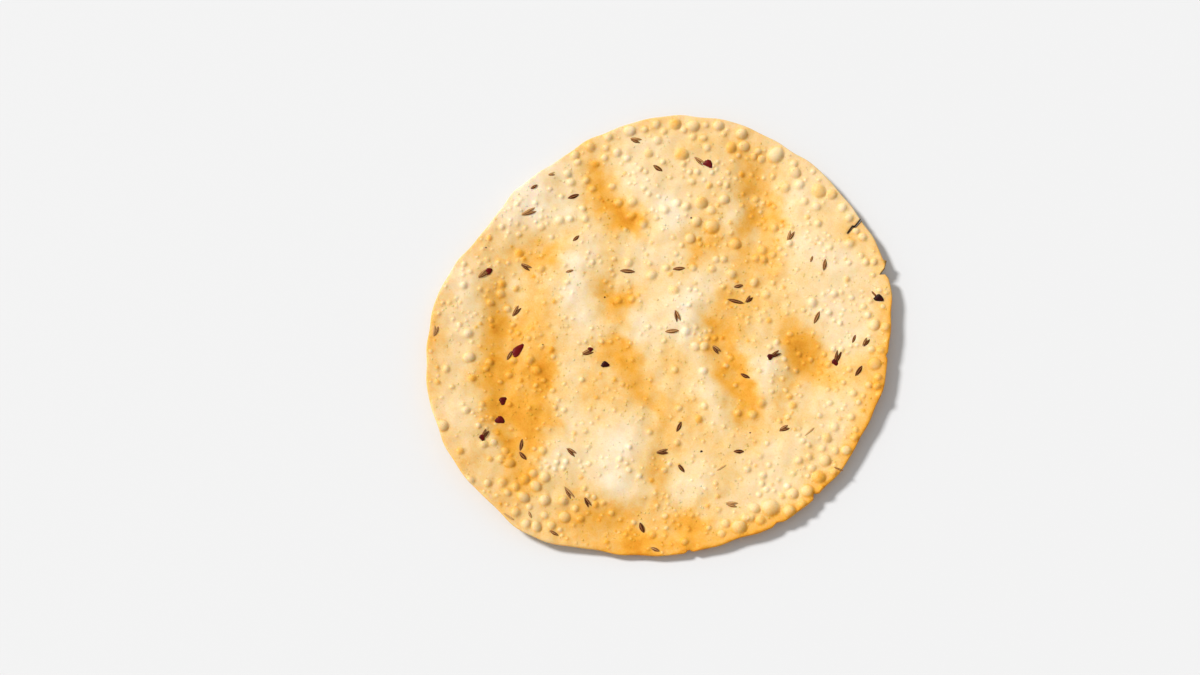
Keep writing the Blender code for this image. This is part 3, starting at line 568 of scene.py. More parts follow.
class Graph:
    """Builds one node tree, of shader or of geometry nodes."""

    def __init__(self, tree: bpy.types.NodeTree) -> None:
        """Keeps the tree that the nodes go into."""
        self.tree = tree

    @staticmethod
    def socket(sockets: Any, key: str | int) -> Any:
        """The socket of a node that has an identifier or else a name, or stands at a place.

        Args:
            sockets: the node's inputs or outputs.
            key: the identifier, the name or the place.

        Returns:
            The socket.
        """
        if isinstance(key, int):
            return sockets[key]
        for one in sockets:
            if one.identifier == key:
                return one
        return sockets[key]

    def add(
        self,
        kind: str,
        settings: dict[str, Any] | None = None,
        values: dict[str | int, Any] | None = None,
    ) -> bpy.types.Node:
        """Makes one node.

        Args:
            kind: the node's type.
            settings: its own settings, and "stops" for a ramp, which are set first.
            values: what each input socket holds, or the Value or socket that feeds it.

        Returns:
            The node.
        """
        node = self.tree.nodes.new(kind)
        for name, setting in (settings or {}).items():
            if name == "stops":
                self.set_stops(node, setting)
            else:
                setattr(node, name, setting)
        for key, value in (values or {}).items():
            self.feed(self.socket(node.inputs, key), value)
        return node

    @staticmethod
    def set_stops(node: bpy.types.Node, stops: Sequence[tuple[float, Colour]]) -> None:
        """Gives a colour ramp its stops, each a place and a colour."""
        ramp = node.color_ramp.elements
        while len(ramp) < len(stops):
            ramp.new(1.0)
        for element, (place, colour) in zip(ramp, stops):
            element.position = place
            element.color = (*colour, 1.0)

    def feed(self, socket: Any, value: Any) -> None:
        """Sets an input socket to a constant, or links it to a Value, a socket or a node's first output."""
        if isinstance(value, Value):
            value = value.socket
        elif isinstance(value, bpy.types.Node):
            value = value.outputs[0]
        if isinstance(value, bpy.types.NodeSocket):
            self.tree.links.new(value, socket)
        else:
            socket.default_value = value

    def out(self, node: bpy.types.Node, key: str | int = 0) -> Value:
        """One output of a node, ready for arithmetic."""
        return Value(self, self.socket(node.outputs, key))

    def mix(self, share: Any, first: Any, second: Any) -> Any:
        """A mix of two colours.

        Args:
            share: the second colour's share.
            first: the first colour.
            second: the second colour.

        Returns:
            The socket with the mixed colour.
        """
        settings = {"data_type": "RGBA", "blend_type": "MIX", "clamp_factor": True}
        values = {"Factor_Float": share, "A_Color": first, "B_Color": second}
        return self.socket(self.add("ShaderNodeMix", settings, values).outputs, "Result_Color")

    def noise(self, where: Any, scale: float, detail: float = 2.0, roughness: float = 0.5) -> Value:
        """Smooth noise from 0 to 1.

        Args:
            where: the coordinates it reads.
            scale: how many lumps there are in a metre.
            detail: how many finer layers it has.
            roughness: how strong those are.

        Returns:
            The noise.
        """
        values = {"Vector": where, "Scale": scale, "Detail": detail, "Roughness": roughness}
        return self.out(self.add("ShaderNodeTexNoise", {}, values), 0)

    def attribute(self, name: str) -> Value:
        """A number kept on the mesh under a name."""
        return self.out(self.add("ShaderNodeAttribute", {"attribute_name": name}), "Fac")

    def ramp(self, place: Value, stops: Sequence[tuple[float, Colour]]) -> bpy.types.Node:
        """The colour ramp's node, read at a place held between 0 and 1."""
        return self.add("ShaderNodeValToRGB", {"stops": stops}, {"Fac": place.clamped()})


class Value:
    """A number in a node tree: arithmetic on it adds Math nodes."""

    def __init__(self, graph: Graph, socket: Any) -> None:
        """Keeps the graph and the socket that the number comes from."""
        self.graph = graph
        self.socket = socket

    def math(self, operation: str, *operands: Any) -> Value:
        """The result of one Math node.

        Args:
            operation: the node's operation.
            operands: what goes in, self among them, as Values or numbers.

        Returns:
            The result.
        """
        node = self.graph.add("ShaderNodeMath", {"operation": operation}, dict(enumerate(operands)))
        return self.graph.out(node)

    def __add__(self, other: Any) -> Value:
        """self + other."""
        return self.math("ADD", self, other)

    __radd__ = __add__

    def __sub__(self, other: Any) -> Value:
        """self - other."""
        return self.math("SUBTRACT", self, other)

    def __rsub__(self, other: Any) -> Value:
        """other - self."""
        return self.math("SUBTRACT", other, self)

    def __mul__(self, other: Any) -> Value:
        """self * other."""
        return self.math("MULTIPLY", self, other)

    __rmul__ = __mul__

    def __pow__(self, other: Any) -> Value:
        """self to a power."""
        return self.math("POWER", self, other)

    def clamped(self) -> Value:
        """self held between 0 and 1."""
        return self.math("MINIMUM", self.math("MAXIMUM", self, 0.0), 1.0)

    def above(self, low: float, high: float) -> Value:
        """The smooth climb of self from 0 at a low mark to 1 at a high one."""
        values = {"Value": self, "From Min": low, "From Max": high}
        node = self.graph.add("ShaderNodeMapRange", {"interpolation_type": "SMOOTHSTEP"}, values)
        return self.graph.out(node)


class ShaderGraph(Graph):
    """The graph of a new material, round its Principled shader."""

    def __init__(self, name: str, **constants: Any) -> None:
        """Makes the material.

        Args:
            name: the material's name.
            constants: what the shader's own sockets hold, with _ for each space in their names.
        """
        self.material = bpy.data.materials.new(name)
        self.material.use_nodes = True
        super().__init__(self.material.node_tree)
        self.shader = self.tree.nodes["Principled BSDF"]
        for socket, value in constants.items():
            self.shader.inputs[socket.replace("_", " ")].default_value = value

    def dress(self, socket: str, value: Any) -> None:
        """Feeds one input of the shader."""
        self.feed(self.shader.inputs[socket], value)

    def place(self) -> Any:
        """The socket with the object's own coordinates."""
        return self.add("ShaderNodeTexCoord").outputs["Object"]


@dataclass(frozen=True)
class CrustFinish:
    """Toasted gram dough: cream where it is palest, then golden, then orange brown; painted shade from the
    crust's attributes is read in as more browning.
    """

    stops: tuple[tuple[float, Colour], ...] = (
        (0.0, (0.96, 0.785, 0.56)),
        (0.25, (0.905, 0.675, 0.375)),
        (0.45, (0.88, 0.59, 0.24)),
        (0.62, (0.875, 0.485, 0.115)),
        (0.8, (0.85, 0.40, 0.040)),
        (1.0, (0.74, 0.29, 0.014)),
    )
    # Painted shade: the near-black that the crack's lips take, standing for the shade in the gap; the broken
    # corner's edge is darkened with it too.
    near_black: Colour = (0.022, 0.009, 0.005)
    speck: Colour = (0.42, 0.19, 0.045)
    speck_share: float = 0.35
    roughness: float = 0.5
    roughness_spread: float = 0.2
    clouds: float = 0.26
    patches: float = 0.34
    grain: float = 0.3
    # Painted shade: how much more toasted the fold round each blister's foot is coloured.
    crease_shade: float = 0.14
    cloud_scale: float = 70.0
    patch_scale: float = 320.0
    speck_scale: float = 900.0
    grain_scale: float = 1500.0
    fine_grain_scale: float = 3200.0
    grain_depth: float = 0.00009
    glow: float = 0.5
    glow_radius: Colour = (1.0, 0.5, 0.2)
    glow_depth: float = 0.0009

    def material(self) -> bpy.types.Material:
        """The finish as a material, which reads the crust's own attributes."""
        graph = ShaderGraph(
            "toasted_crust",
            Specular_IOR_Level=0.16,
            Subsurface_Weight=self.glow,
            Subsurface_Radius=self.glow_radius,
            Subsurface_Scale=self.glow_depth,
        )
        where = graph.place()
        patches = graph.noise(where, self.patch_scale, 3.0, 0.6)
        grain = graph.noise(where, self.grain_scale, 2.0, 0.6)
        toast_and_shade = (
            graph.attribute("toast_and_shade")
            + (graph.noise(where, self.cloud_scale, 3.0) - 0.5) * self.clouds
            + (patches - 0.5) * self.patches
            + (grain - 0.5) * self.grain
            # Painted shade: the fold round each blister's foot is coloured more toasted.
            + graph.attribute("crease_shade") * self.crease_shade
            + graph.attribute("dome") * graph.attribute("tint")
        )
        specks = graph.noise(where, self.speck_scale, 1.0).above(0.7, 0.78)
        speckled = graph.mix(specks * self.speck_share, graph.ramp(toast_and_shade, self.stops), (*self.speck, 1.0))
        # The crack's lips get painted shade, near-black, and the broken corner's edge is darkened.
        graph.dress("Base Color", graph.mix(graph.attribute("crack_shade_corner_dark"), speckled, (*self.near_black, 1.0)))
        graph.dress("Roughness", self.roughness + (patches - 0.5) * self.roughness_spread)
        height = grain * 0.6 + graph.noise(where, self.fine_grain_scale, 2.0, 0.6) * 0.4
        bump = {"Strength": 0.6, "Distance": self.grain_depth, "Height": height}
        graph.dress("Normal", graph.add("ShaderNodeBump", {}, bump))
        return graph.material


@dataclass(frozen=True)
class HuskFinish:
    """Dry ribbed husk: dark in its furrows, straw on its ribs, paler or darker by each seed's own tone."""

    dark: Colour = (0.045, 0.010, 0.004)
    brown: Colour = (0.20, 0.060, 0.014)
    straw: Colour = (0.66, 0.37, 0.14)
    roughness: float = 0.7

    def material(self) -> bpy.types.Material:
        """The finish as a material, which reads each seed's tone and ribs."""
        graph = ShaderGraph("seed_husk", Specular_IOR_Level=0.08, Roughness=self.roughness)
        streak = graph.noise(graph.place(), 1800.0, 2.0)
        ribbed = graph.attribute("tone") * 0.8 + (graph.attribute("rib") - 0.5) * 0.7
        stops = ((0.0, self.dark), (0.42, self.brown), (0.9, self.straw))
        graph.dress("Base Color", graph.ramp(ribbed + (streak - 0.5) * 0.4 + 0.12, stops))
        return graph.material


@dataclass(frozen=True)
class ChilliFinish:
    """Dried chilli skin: dark red, nearly black in dark blotches and on dark-toned flakes, and slightly
    glossy.
    """

    dark: Colour = (0.022, 0.003, 0.003)
    red: Colour = (0.17, 0.005, 0.005)
    roughness: float = 0.45

    def material(self) -> bpy.types.Material:
        """The finish as a material, which reads each flake's tone."""
        graph = ShaderGraph("chilli_flake", Specular_IOR_Level=0.12, Roughness=self.roughness)
        blotch = graph.noise(graph.place(), 900.0, 2.0)
        tone = graph.attribute("tone") + (blotch - 0.5) * 0.9
        graph.dress("Base Color", graph.ramp(tone, ((0.0, self.dark), (0.7, self.red))))
        return graph.material


@dataclass
class Crust:
    """The sheet of dough with its blisters, as one closed mesh."""

    form: DiscForm
    blisters: Sequence[Blister]
    rim_step: float = 0.8
    top_step: float = 1.35
    under_step: float = 1.9
    edge_round: float = 0.5
    edge_share: float = 0.45
    rim_zone: float = 0.88
    crease_width: float = 0.13
    # How far the painted shade along the crack reaches, and how far the darkening along the broken corner
    # reaches.
    crack_shade_reach: float = 0.54
    corner_dark_reach: float = 0.3
    toast_base: float = 0.335
    toast_drift: float = 0.05
    coarse_warp: float = 1.5
    fine_warp: float = 0.7
    rim_toast: float = 0.34
    edge_toast: float = 0.2
    # A step away from the key light: slopes that fall along it are coloured more toasted, which is painted
    # shade.
    step_away_from_key: tuple[float, float] = (0.88, -0.47)
    toast_share: float = 0.93
    # How much painted shade those slopes get, as extra browning.
    painted_lee_shade: float = 1.8
    pale_share: float = 0.85
    blister_height: float = 0.56
    small_height: float = 0.65
    pucker: float = 0.13
    fine_pucker: float = 0.07
    name: str = "papadum_crust"

    def swelling(self, x: np.ndarray, y: np.ndarray) -> dict[str, np.ndarray]:
        """How blisters stand out of the sheet.

        Args:
            x, y: the points.

        Returns:
            The rise in millimetres, how near each point is to a crown, how near to the fold round a
            blister's foot, where painted shade goes, and the tint of the blister that it is on.
        """
        rise = np.zeros_like(x)
        dome = np.zeros_like(x)
        crease_shade = np.zeros_like(x)
        tint = np.zeros_like(x)
        for blister in self.blisters:
            reach = blister.radius * 1.5
            near = np.nonzero((np.abs(x - blister.x) < reach) & (np.abs(y - blister.y) < reach))[0]
            along, across = turned(x[near], y[near], blister.x, blister.y, blister.heading)
            share = np.hypot(along * blister.stretch, across / blister.stretch) / blister.radius
            cap = np.clip(1 - share**2, 0, 1)
            fullness = min(1.0, self.small_height + (1 - self.small_height) * (blister.radius - 0.4) / 1.2)
            rise[near] += self.blister_height * blister.radius * fullness * cap**0.66
            dome[near] = np.maximum(dome[near], cap**0.5)
            # Nearness to the fold at a blister's foot, which the finish darkens as painted shade.
            crease_shade[near] = np.maximum(crease_shade[near], np.exp(-(((share - 1.0) / self.crease_width) ** 2)))
            tint[near] = np.where(share < 1.0, blister.tint, tint[near])
        return {"rise": rise, "dome": dome, "crease_shade": crease_shade, "tint": tint}

    def toast_and_shade(self, x: np.ndarray, y: np.ndarray) -> np.ndarray:
        """How far the crust is toasted at points, from about 0, cream, to 1, brown, with painted shade added
        as more browning on slopes that fall away from the key light.
        """
        value = self.toast_base + self.toast_drift * wander(x, y, 21.0, 11)
        warped_x = x + self.coarse_warp * wander(x, y, 11.0, 12) + self.fine_warp * wander(x, y, 4.5, 13)
        warped_y = y + self.coarse_warp * wander(x, y, 11.0, 14) + self.fine_warp * wander(x, y, 4.5, 15)
        for *place, more in TOASTED_MARKS:
            value = value + self.toast_share * more * hump(warped_x, warped_y, place)
        for *place, less in PALE_MARKS:
            value = value - self.pale_share * less * hump(warped_x, warped_y, place)
        share = self.form.rim_share(x, y)
        azimuth = np.degrees(np.arctan2(y, x))
        lower_right = smooth_step(-130, -70, azimuth) * (1 - smooth_step(0, 35, azimuth))
        value = value + self.rim_toast * smooth_step(0.89, 1.0, share) * lower_right
        value = value + self.edge_toast * smooth_step(0.98, 1.0, share) * lower_right
        # Painted shade: slopes that fall away from the key light are coloured more toasted.
        step_x, step_y = self.step_away_from_key
        behind = self.form.sheet_height(x - step_x, y - step_y)
        fall = behind - self.form.sheet_height(x + step_x, y + step_y)
        return value + self.painted_lee_shade * np.clip(fall / 2, 0, 0.3)

    def puckers(self, x: np.ndarray, y: np.ndarray) -> np.ndarray:
        """How far the shown side wanders up and down between the blisters."""
        return self.pucker * wander(x, y, 7.5, 16) + self.fine_pucker * wander(x, y, 3.6, 17)

    @staticmethod
    def distances(points: np.ndarray, line: np.ndarray, closed: bool) -> np.ndarray:
        """Distance of points from a line of corners.

        Args:
            points: the points, one a row.
            line: the corners, one a row.
            closed: whether the last corner joins the first.

        Returns:
            The distances.
        """
        starts = line if closed else line[:-1]
        sides = (np.roll(line, -1, axis=0) if closed else line[1:]) - starts
        nearest = np.full(len(points), np.inf)
        for start, side in zip(starts, sides):
            away = points - start
            share = np.clip((away @ side) / max(float(side @ side), 1e-9), 0, 1)
            nearest = np.minimum(nearest, np.hypot(*(away - share[:, None] * side).T))
        return nearest

    def rings(self, under: bool) -> list[tuple[float, float]]:
        """The points that the blisters are modelled by: a crown and rings down to the foot of each."""
        points = []
        for blister in self.blisters:
            cosine, sine = direction(blister.heading)
            layouts = (layout for least, layout in BLISTER_RINGS if blister.radius > least)
            points.append((blister.x, blister.y))
            for number, (count, share) in enumerate(UNDER_RINGS if under else next(layouts)):
                for k in range(count):
                    angle = 2 * math.pi * (k + 0.5 * (number % 2)) / count
                    along = share * blister.radius * math.cos(angle) / blister.stretch
                    across = share * blister.radius * math.sin(angle) * blister.stretch
                    x = blister.x + along * cosine - across * sine
                    points.append((x, blister.y + along * sine + across * cosine))
        return points

    def lattice(self, step: float, clearance: float) -> np.ndarray:
        """Points of a triangular lattice that lie clear of the blisters.

        Args:
            step: the lattice's spacing.
            clearance: how far outside a blister's radius a point has to be, as a share of it.

        Returns:
            The points, one a row.
        """
        rows = math.ceil(self.form.width / 2 / (step * math.sqrt(0.75))) + 6
        row, column = np.meshgrid(np.arange(-rows, rows + 1), np.arange(-rows - 4, rows + 5))
        x = (step * (column + 0.5 * (row % 2))).ravel()
        y = (step * math.sqrt(0.75) * row).ravel()
        inside = self.form.rim_share(x, y) < 1.0
        points = np.column_stack([x[inside], y[inside]])
        for blister in self.blisters:
            away = np.hypot(points[:, 0] - blister.x, points[:, 1] - blister.y)
            points = points[away > clearance * blister.radius]
        return points

    def inner_points(self, step: float, under: bool, outline: np.ndarray) -> np.ndarray:
        """Every point that one side is modelled by, besides its outline's corners.

        Args:
            step: the spacing between blisters.
            under: whether the side is the underside.
            outline: the outline's corners.

        Returns:
            The points, one a row.
        """
        middle = outline.mean(axis=0)
        inset = [
            middle + (outline - middle) * (1 - depth / (self.form.width / 2))
            for depth in (self.edge_round * 0.3, self.edge_round * 0.8)
        ]
        lattice = self.lattice(step, 1.1 if under else 1.22)
        points = np.vstack([lattice, np.array(self.rings(under))])
        share = self.form.rim_share(points[:, 0], points[:, 1])
        near_rim = share > 0.9
        distance = np.full(len(points), FAR)
        distance[near_rim] = self.distances(points[near_rim], outline, True)
        keep = (distance > self.edge_round * 1.2) & (share < 1.0)
        points = points[keep]
        fringe = [
            point + np.array([math.cos(turn), math.sin(turn)]) * reach
            for line in (BROKEN_CORNER, CRACK)
            for point in np.array(self.form.divided(line, 0.5))
            for reach in (0.3, 0.62)
            for turn in np.arange(0, 2 * math.pi, math.pi / 4)
        ]
        edge = np.vstack(inset + [np.array(fringe)])
        inside = self.form.rim_share(edge[:, 0], edge[:, 1]) < 0.998
        edge = edge[inside & (self.distances(edge, outline, True) > self.edge_round * 0.22)]
        return np.vstack([points, edge])

    def side(
        self, outline: np.ndarray, step: float, under: bool
    ) -> tuple[np.ndarray, np.ndarray, dict[str, np.ndarray]]:
        """One side of the sheet.

        Args:
            outline: the outline's corners, anticlockwise.
            step: the spacing between blisters.
            under: whether the side is the underside.

        Returns:
            The side's points, outline first, its triangles facing out, and its named attributes.
        """
        inner = self.inner_points(step, under, outline)
        flat = np.vstack([outline, inner])
        count = len(outline)
        sides = [(k, (k + 1) % count) for k in range(count)]
        vectors = [Vector(point) for point in flat.tolist()]
        points, _, triangles, origins, *_ = delaunay_2d_cdt(vectors, sides, [list(range(count))], 1, 1e-5)
        first = {}
        for index, origin in enumerate(origins):
            for source in origin:
                first[source] = index
        order = [first[k] for k in range(count)]
        taken = set(order)
        order += [index for index in range(len(points)) if index not in taken]
        place = np.empty(len(points), int)
        place[order] = np.arange(len(points))
        flat = np.array([points[index] for index in order])
        faces = place[np.array(triangles)]
        a, b, c = (flat[faces[:, k]] for k in range(3))
        area = (b - a)[:, 0] * (c - a)[:, 1] - (b - a)[:, 1] * (c - a)[:, 0]
        turn_round = (area > 0) == under
        faces[turn_round] = faces[turn_round][:, ::-1]
        return self.raised(flat, outline, under, faces)

    def raised(
        self, flat: np.ndarray, outline: np.ndarray, under: bool, faces: np.ndarray
    ) -> tuple[np.ndarray, np.ndarray, dict[str, np.ndarray]]:
        """Lifts one side's flat points to their heights, and gives them their attributes."""
        x, y = flat.T
        swelling = self.swelling(x, y)
        share = self.form.rim_share(x, y)
        edge = np.full(len(x), FAR)
        near_rim = share > self.rim_zone
        edge[near_rim] = self.distances(flat[near_rim], outline, True)
        inwards = np.clip(edge / self.edge_round, 0, 1)
        fullness = self.edge_share + (1 - self.edge_share) * np.sqrt(1 - (1 - inwards) ** 2)
        middle = self.form.sheet_height(x, y)
        half = self.form.thickness / 2
        if under:
            rise = self.form.blister_under_share * swelling["rise"]
            z = np.maximum(middle - half * fullness - rise, 0.0)
        else:
            z = np.maximum(middle + half, self.form.thinnest) - half * (1 - fullness) + swelling["rise"]
            z = z + self.puckers(x, y) * inwards
        crack = self.distances(flat, np.array(CRACK), False)
        corner = self.distances(flat, np.array(BROKEN_CORNER), False)
        attributes = {
            "toast_and_shade": self.toast_and_shade(x, y) + 0.05 * (1 - inwards),
            **{name: swelling[name] for name in ("dome", "crease_shade", "tint")},
            # Painted shade along the crack, standing for the dark gap, and a darker edge along the broken
            # corner.
            "crack_shade_corner_dark": np.maximum(
                np.exp(-((crack / self.crack_shade_reach) ** 4)), 0.8 * np.exp(-((corner / self.corner_dark_reach) ** 2))
            ),
        }
        return np.column_stack([x, y, z]), faces, attributes

    def build(self) -> bpy.types.Object:
        """Makes the crust's object.

        Returns:
            The object, with its attributes and finish.
        """
        outline = np.array(self.form.rim_outline(self.rim_step))
        top, top_faces, top_marks = self.side(outline, self.top_step, False)
        low, low_faces, low_marks = self.side(outline, self.under_step, True)
        count = len(outline)
        near = np.arange(count)
        after = (near + 1) % count
        lower = near + len(top)
        lower_after = after + len(top)
        wall = [np.column_stack([lower, lower_after, after]), np.column_stack([lower, after, near])]
        points = np.vstack([top, low])
        points[:, :2] += self.form.shift
        faces = np.vstack([top_faces, low_faces + len(top), *wall])
        data = bpy.data.meshes.new(self.name)
        data.from_pydata((points * MM).tolist(), [], faces.tolist())
        for name, marks in top_marks.items():
            store(data, name, np.concatenate([marks, low_marks[name]]).astype(np.float32))
        data.shade_smooth()
        data.materials.append(CrustFinish().material())
        LOG.info("%s: %d triangles", self.name, len(faces))
        return stood(self.name, data)


class GeometryTree(Graph):
    """A tree of geometry nodes for one kind of scattered thing, with named inputs."""

    def __init__(self, name: str, inputs: dict[str, str]) -> None:
        """Makes the tree, with its points, its named inputs and a material going in.

        Args:
            name: the tree's name.
            inputs: the name and the kind of each further input, such as Float.
        """
        super().__init__(bpy.data.node_groups.new(name, "GeometryNodeTree"))
        self.identifiers: dict[str, str] = {}
        for key, kind in {"Geometry": "Geometry", **inputs, "Material": "Material"}.items():
            made = self.tree.interface.new_socket(key, in_out="INPUT", socket_type=f"NodeSocket{kind}")
            self.identifiers[key] = made.identifier
        self.tree.interface.new_socket("Geometry", in_out="OUTPUT", socket_type="NodeSocketGeometry")
        self.start = self.add("NodeGroupInput")

    def given(self, name: str) -> Value:
        """What goes in under a name."""
        return self.out(self.start, name)

    def read(self, name: str) -> Value:
        """The three numbers kept on the points under a name."""
        settings = {"data_type": "FLOAT_VECTOR"}
        return self.out(self.add("GeometryNodeInputNamedAttribute", settings, {"Name": name}), "Attribute")

    def coordinates(self) -> list[Value]:
        """The x, y and z of each point."""
        place = self.add("GeometryNodeInputPosition")
        parts = self.add("ShaderNodeSeparateXYZ", {}, {"Vector": place})
        return [self.out(parts, axis) for axis in "XYZ"]

    def scaled(self, vector: bpy.types.Node, size: Value) -> bpy.types.Node:
        """The node that makes a vector longer or shorter."""
        return self.add("ShaderNodeVectorMath", {"operation": "SCALE"}, {"Vector": vector, "Scale": size})

    def moved(self, geometry: Any, **how: bpy.types.Node) -> bpy.types.Node:
        """The node that moves points, to a Position or by an Offset."""
        return self.add("GeometryNodeSetPosition", {}, {"Geometry": geometry, **how})

    def marked(self, geometry: Any, name: str, value: Value) -> bpy.types.Node:
        """The node that keeps a number on the points under a name."""
        settings = {"data_type": "FLOAT", "domain": "POINT"}
        values = {"Geometry": geometry, "Name": name, "Value": value}
        return self.add("GeometryNodeStoreNamedAttribute", settings, values)

    def finish(self, body: bpy.types.Node) -> GeometryTree:
        """Sets the body on each point, turned and sized by the point's attributes, and realizes it.

        Args:
            body: the node that makes the body's mesh.

        Returns:
            The tree itself.
        """
        values = {
            "Points": self.given("Geometry"),
            "Instance": self.add("GeometryNodeSetShadeSmooth", {}, {"Geometry": body}),
            "Rotation": self.add("FunctionNodeEulerToRotation", {}, {0: self.read("turn")}),
            "Scale": self.read("size"),
        }
        placed = self.add("GeometryNodeInstanceOnPoints", {}, values)
        real = self.add("GeometryNodeRealizeInstances", {}, {"Geometry": placed})
        values = {"Geometry": real, "Material": self.given("Material")}
        self.add("NodeGroupOutput", {}, {"Geometry": self.add("GeometryNodeSetMaterial", {}, values)})
        return self


class Point(NamedTuple):
    """Where one scattered thing goes, how it is turned and sized, and its tone."""

    place: tuple[float, float, float]
    turn: tuple[float, float, float]
    size: tuple[float, float, float]
    tone: float


@dataclass
class Scatter:
    """Scattered things of one kind, set on points by a tree of geometry nodes and joined into one mesh."""

    name: str
    tree: GeometryTree
    inputs: dict[str, Any]
    tone_name: str = "tone"

    def build(self, points: Sequence[Point], material: bpy.types.Material) -> bpy.types.Object:
        """Makes the joined mesh.

        Args:
            points: where the things go.
            material: what they are dressed in.

        Returns:
            The object, with no modifier left on it.
        """
        data = bpy.data.meshes.new(self.name)
        data.from_pydata([point.place for point in points], [], [])
        for name in ("turn", "size"):
            store(data, name, [part for point in points for part in getattr(point, name)], "FLOAT_VECTOR")
        store(data, self.tone_name, [point.tone for point in points])
        piece = stood(self.name, data)
        modifier = piece.modifiers.new("scatter", "NODES")
        modifier.node_group = self.tree.tree
        for name, value in {**self.inputs, "Material": material}.items():
            modifier[self.tree.identifiers[name]] = value
        graph = bpy.context.evaluated_depsgraph_get()
        joined = bpy.data.meshes.new_from_object(piece.evaluated_get(graph))
        piece.modifiers.clear()
        piece.data = joined
        LOG.info("%s: %d faces", self.name, len(joined.polygons))
        return piece


def spindle_tree() -> GeometryTree:
    """A slim ribbed spindle that lies along X, one unit long and one wide.

    Returns:
        The tree, with inputs for its rings, sides, ribs and their depth, its bluntness and its bend.
    """
    numbers = dict.fromkeys(("Ribs", "Rib Depth", "Bluntness", "Bend"), "Float")
    graph = GeometryTree("spindle", {"Rings": "Int", "Sides": "Int", **numbers})
    line = graph.add("GeometryNodeCurvePrimitiveLine", {}, {"Start": (-0.5, 0, 0), "End": (0.5, 0, 0)})
    spine = graph.add("GeometryNodeResampleCurve", {}, {"Curve": line, "Count": graph.given("Rings")})
    along = graph.out(graph.add("GeometryNodeSplineParameter"), "Factor")
    outwards = along * 2.0 - 1.0
    arch = 1.0 - outwards * outwards
    rise = graph.add("ShaderNodeCombineXYZ", {}, {"Y": arch * graph.given("Bend")})
    values = {"Resolution": graph.given("Sides"), "Radius": 0.5}
    circle = graph.add("GeometryNodeCurvePrimitiveCircle", {}, values)
    x, y, _ = graph.coordinates()
    wave = along.math("COSINE", along.math("ARCTAN2", y, x) * graph.given("Ribs"))
    swell = 1.0 + wave * graph.given("Rib Depth")
    ribbed = graph.moved(circle, Position=graph.scaled(graph.add("GeometryNodeInputPosition"), swell))
    values = {
        "Curve": graph.moved(spine, Offset=rise),
        "Profile Curve": graph.marked(ribbed, "rib", wave * 0.5 + 0.5),
        "Scale": arch ** graph.given("Bluntness") + 0.03,
        "Fill Caps": True,
    }
    return graph.finish(graph.add("GeometryNodeCurveToMesh", {}, values))


def chunk_tree() -> GeometryTree:
    """A rough chunk, one unit across.

    Returns:
        The tree, with inputs for its roughness, the noise's seed and how pointed it is.
    """
    graph = GeometryTree("chunk", dict.fromkeys(("Roughness", "Seed", "Taper"), "Float"))
    ball = graph.add("GeometryNodeMeshIcoSphere", {}, {"Radius": 0.5, "Subdivisions": 3})
    values = {"W": graph.given("Seed"), "Scale": 2.2, "Detail": 1.5}
    noise = graph.out(graph.add("ShaderNodeTexNoise", {"noise_dimensions": "4D"}, values))
    push = (noise - 0.5) * graph.given("Roughness")
    rough = graph.moved(ball, Offset=graph.scaled(graph.add("GeometryNodeInputNormal"), push))
    x, y, z = graph.coordinates()
    girth = 1.0 - x * graph.given("Taper")
    tapered = graph.add("ShaderNodeCombineXYZ", {}, {"X": x, "Y": y * girth, "Z": z})
    return graph.finish(graph.moved(rough, Position=tapered))


def dome_tree() -> GeometryTree:
    """A small dome, two units across, that keeps how near each point is to the crown."""
    graph = GeometryTree("dome", {})
    ball = graph.add("GeometryNodeMeshUVSphere", {}, {"Segments": 8, "Rings": 5, "Radius": 1.0})
    height = graph.coordinates()[2]
    return graph.finish(graph.marked(ball, "dome", height.clamped()))


@dataclass
class FineBlisters:
    """The finest bubbles in the dough, each a small dome on the shown side."""

    form: DiscForm
    crust: Crust
    finish: CrustFinish
    tries: int = 2400
    smallest: float = 0.22
    largest: float = 0.46
    height_share: float = 0.36
    clump: float = 9.0
    rim_share: float = 0.985

    def build(self) -> bpy.types.Object:
        """Makes the bubbles, clear of the rim and of the larger blisters."""
        draw = random.Random(23)
        large = np.array([(blister.x, blister.y, blister.radius) for blister in self.crust.blisters])
        points = []
        for _ in range(self.tries):
            azimuth = draw.uniform(0, 2 * math.pi)
            distance = self.form.width / 2 * 1.05 * math.sqrt(draw.random())
            x = distance * math.cos(azimuth)
            y = distance * math.sin(azimuth)
            radius = draw.uniform(self.smallest, self.largest)
            chance = 0.5 + 0.5 * float(wander(x, y, self.clump, 31))
            if draw.random() > chance or float(self.form.rim_share(x, y)) > self.rim_share:
                continue
            if np.min(np.hypot(large[:, 0] - x, large[:, 1] - y) - large[:, 2]) < radius:
                continue
            height = float(self.form.top_height(x, y)) + float(self.crust.puckers(x, y))
            where = self.form.place(x, y, height)
            size = (radius * MM, radius * MM, radius * self.height_share * MM)
            toast_and_shade = float(self.crust.toast_and_shade(np.array([x]), np.array([y]))[0]) + draw.uniform(-0.05, 0.2)
            points.append(Point(where, (0.0, 0.0, 0.0), size, toast_and_shade))
        scatter = Scatter("fine_blisters", dome_tree(), {}, "toast_and_shade")
        return scatter.build(points, self.finish.material())


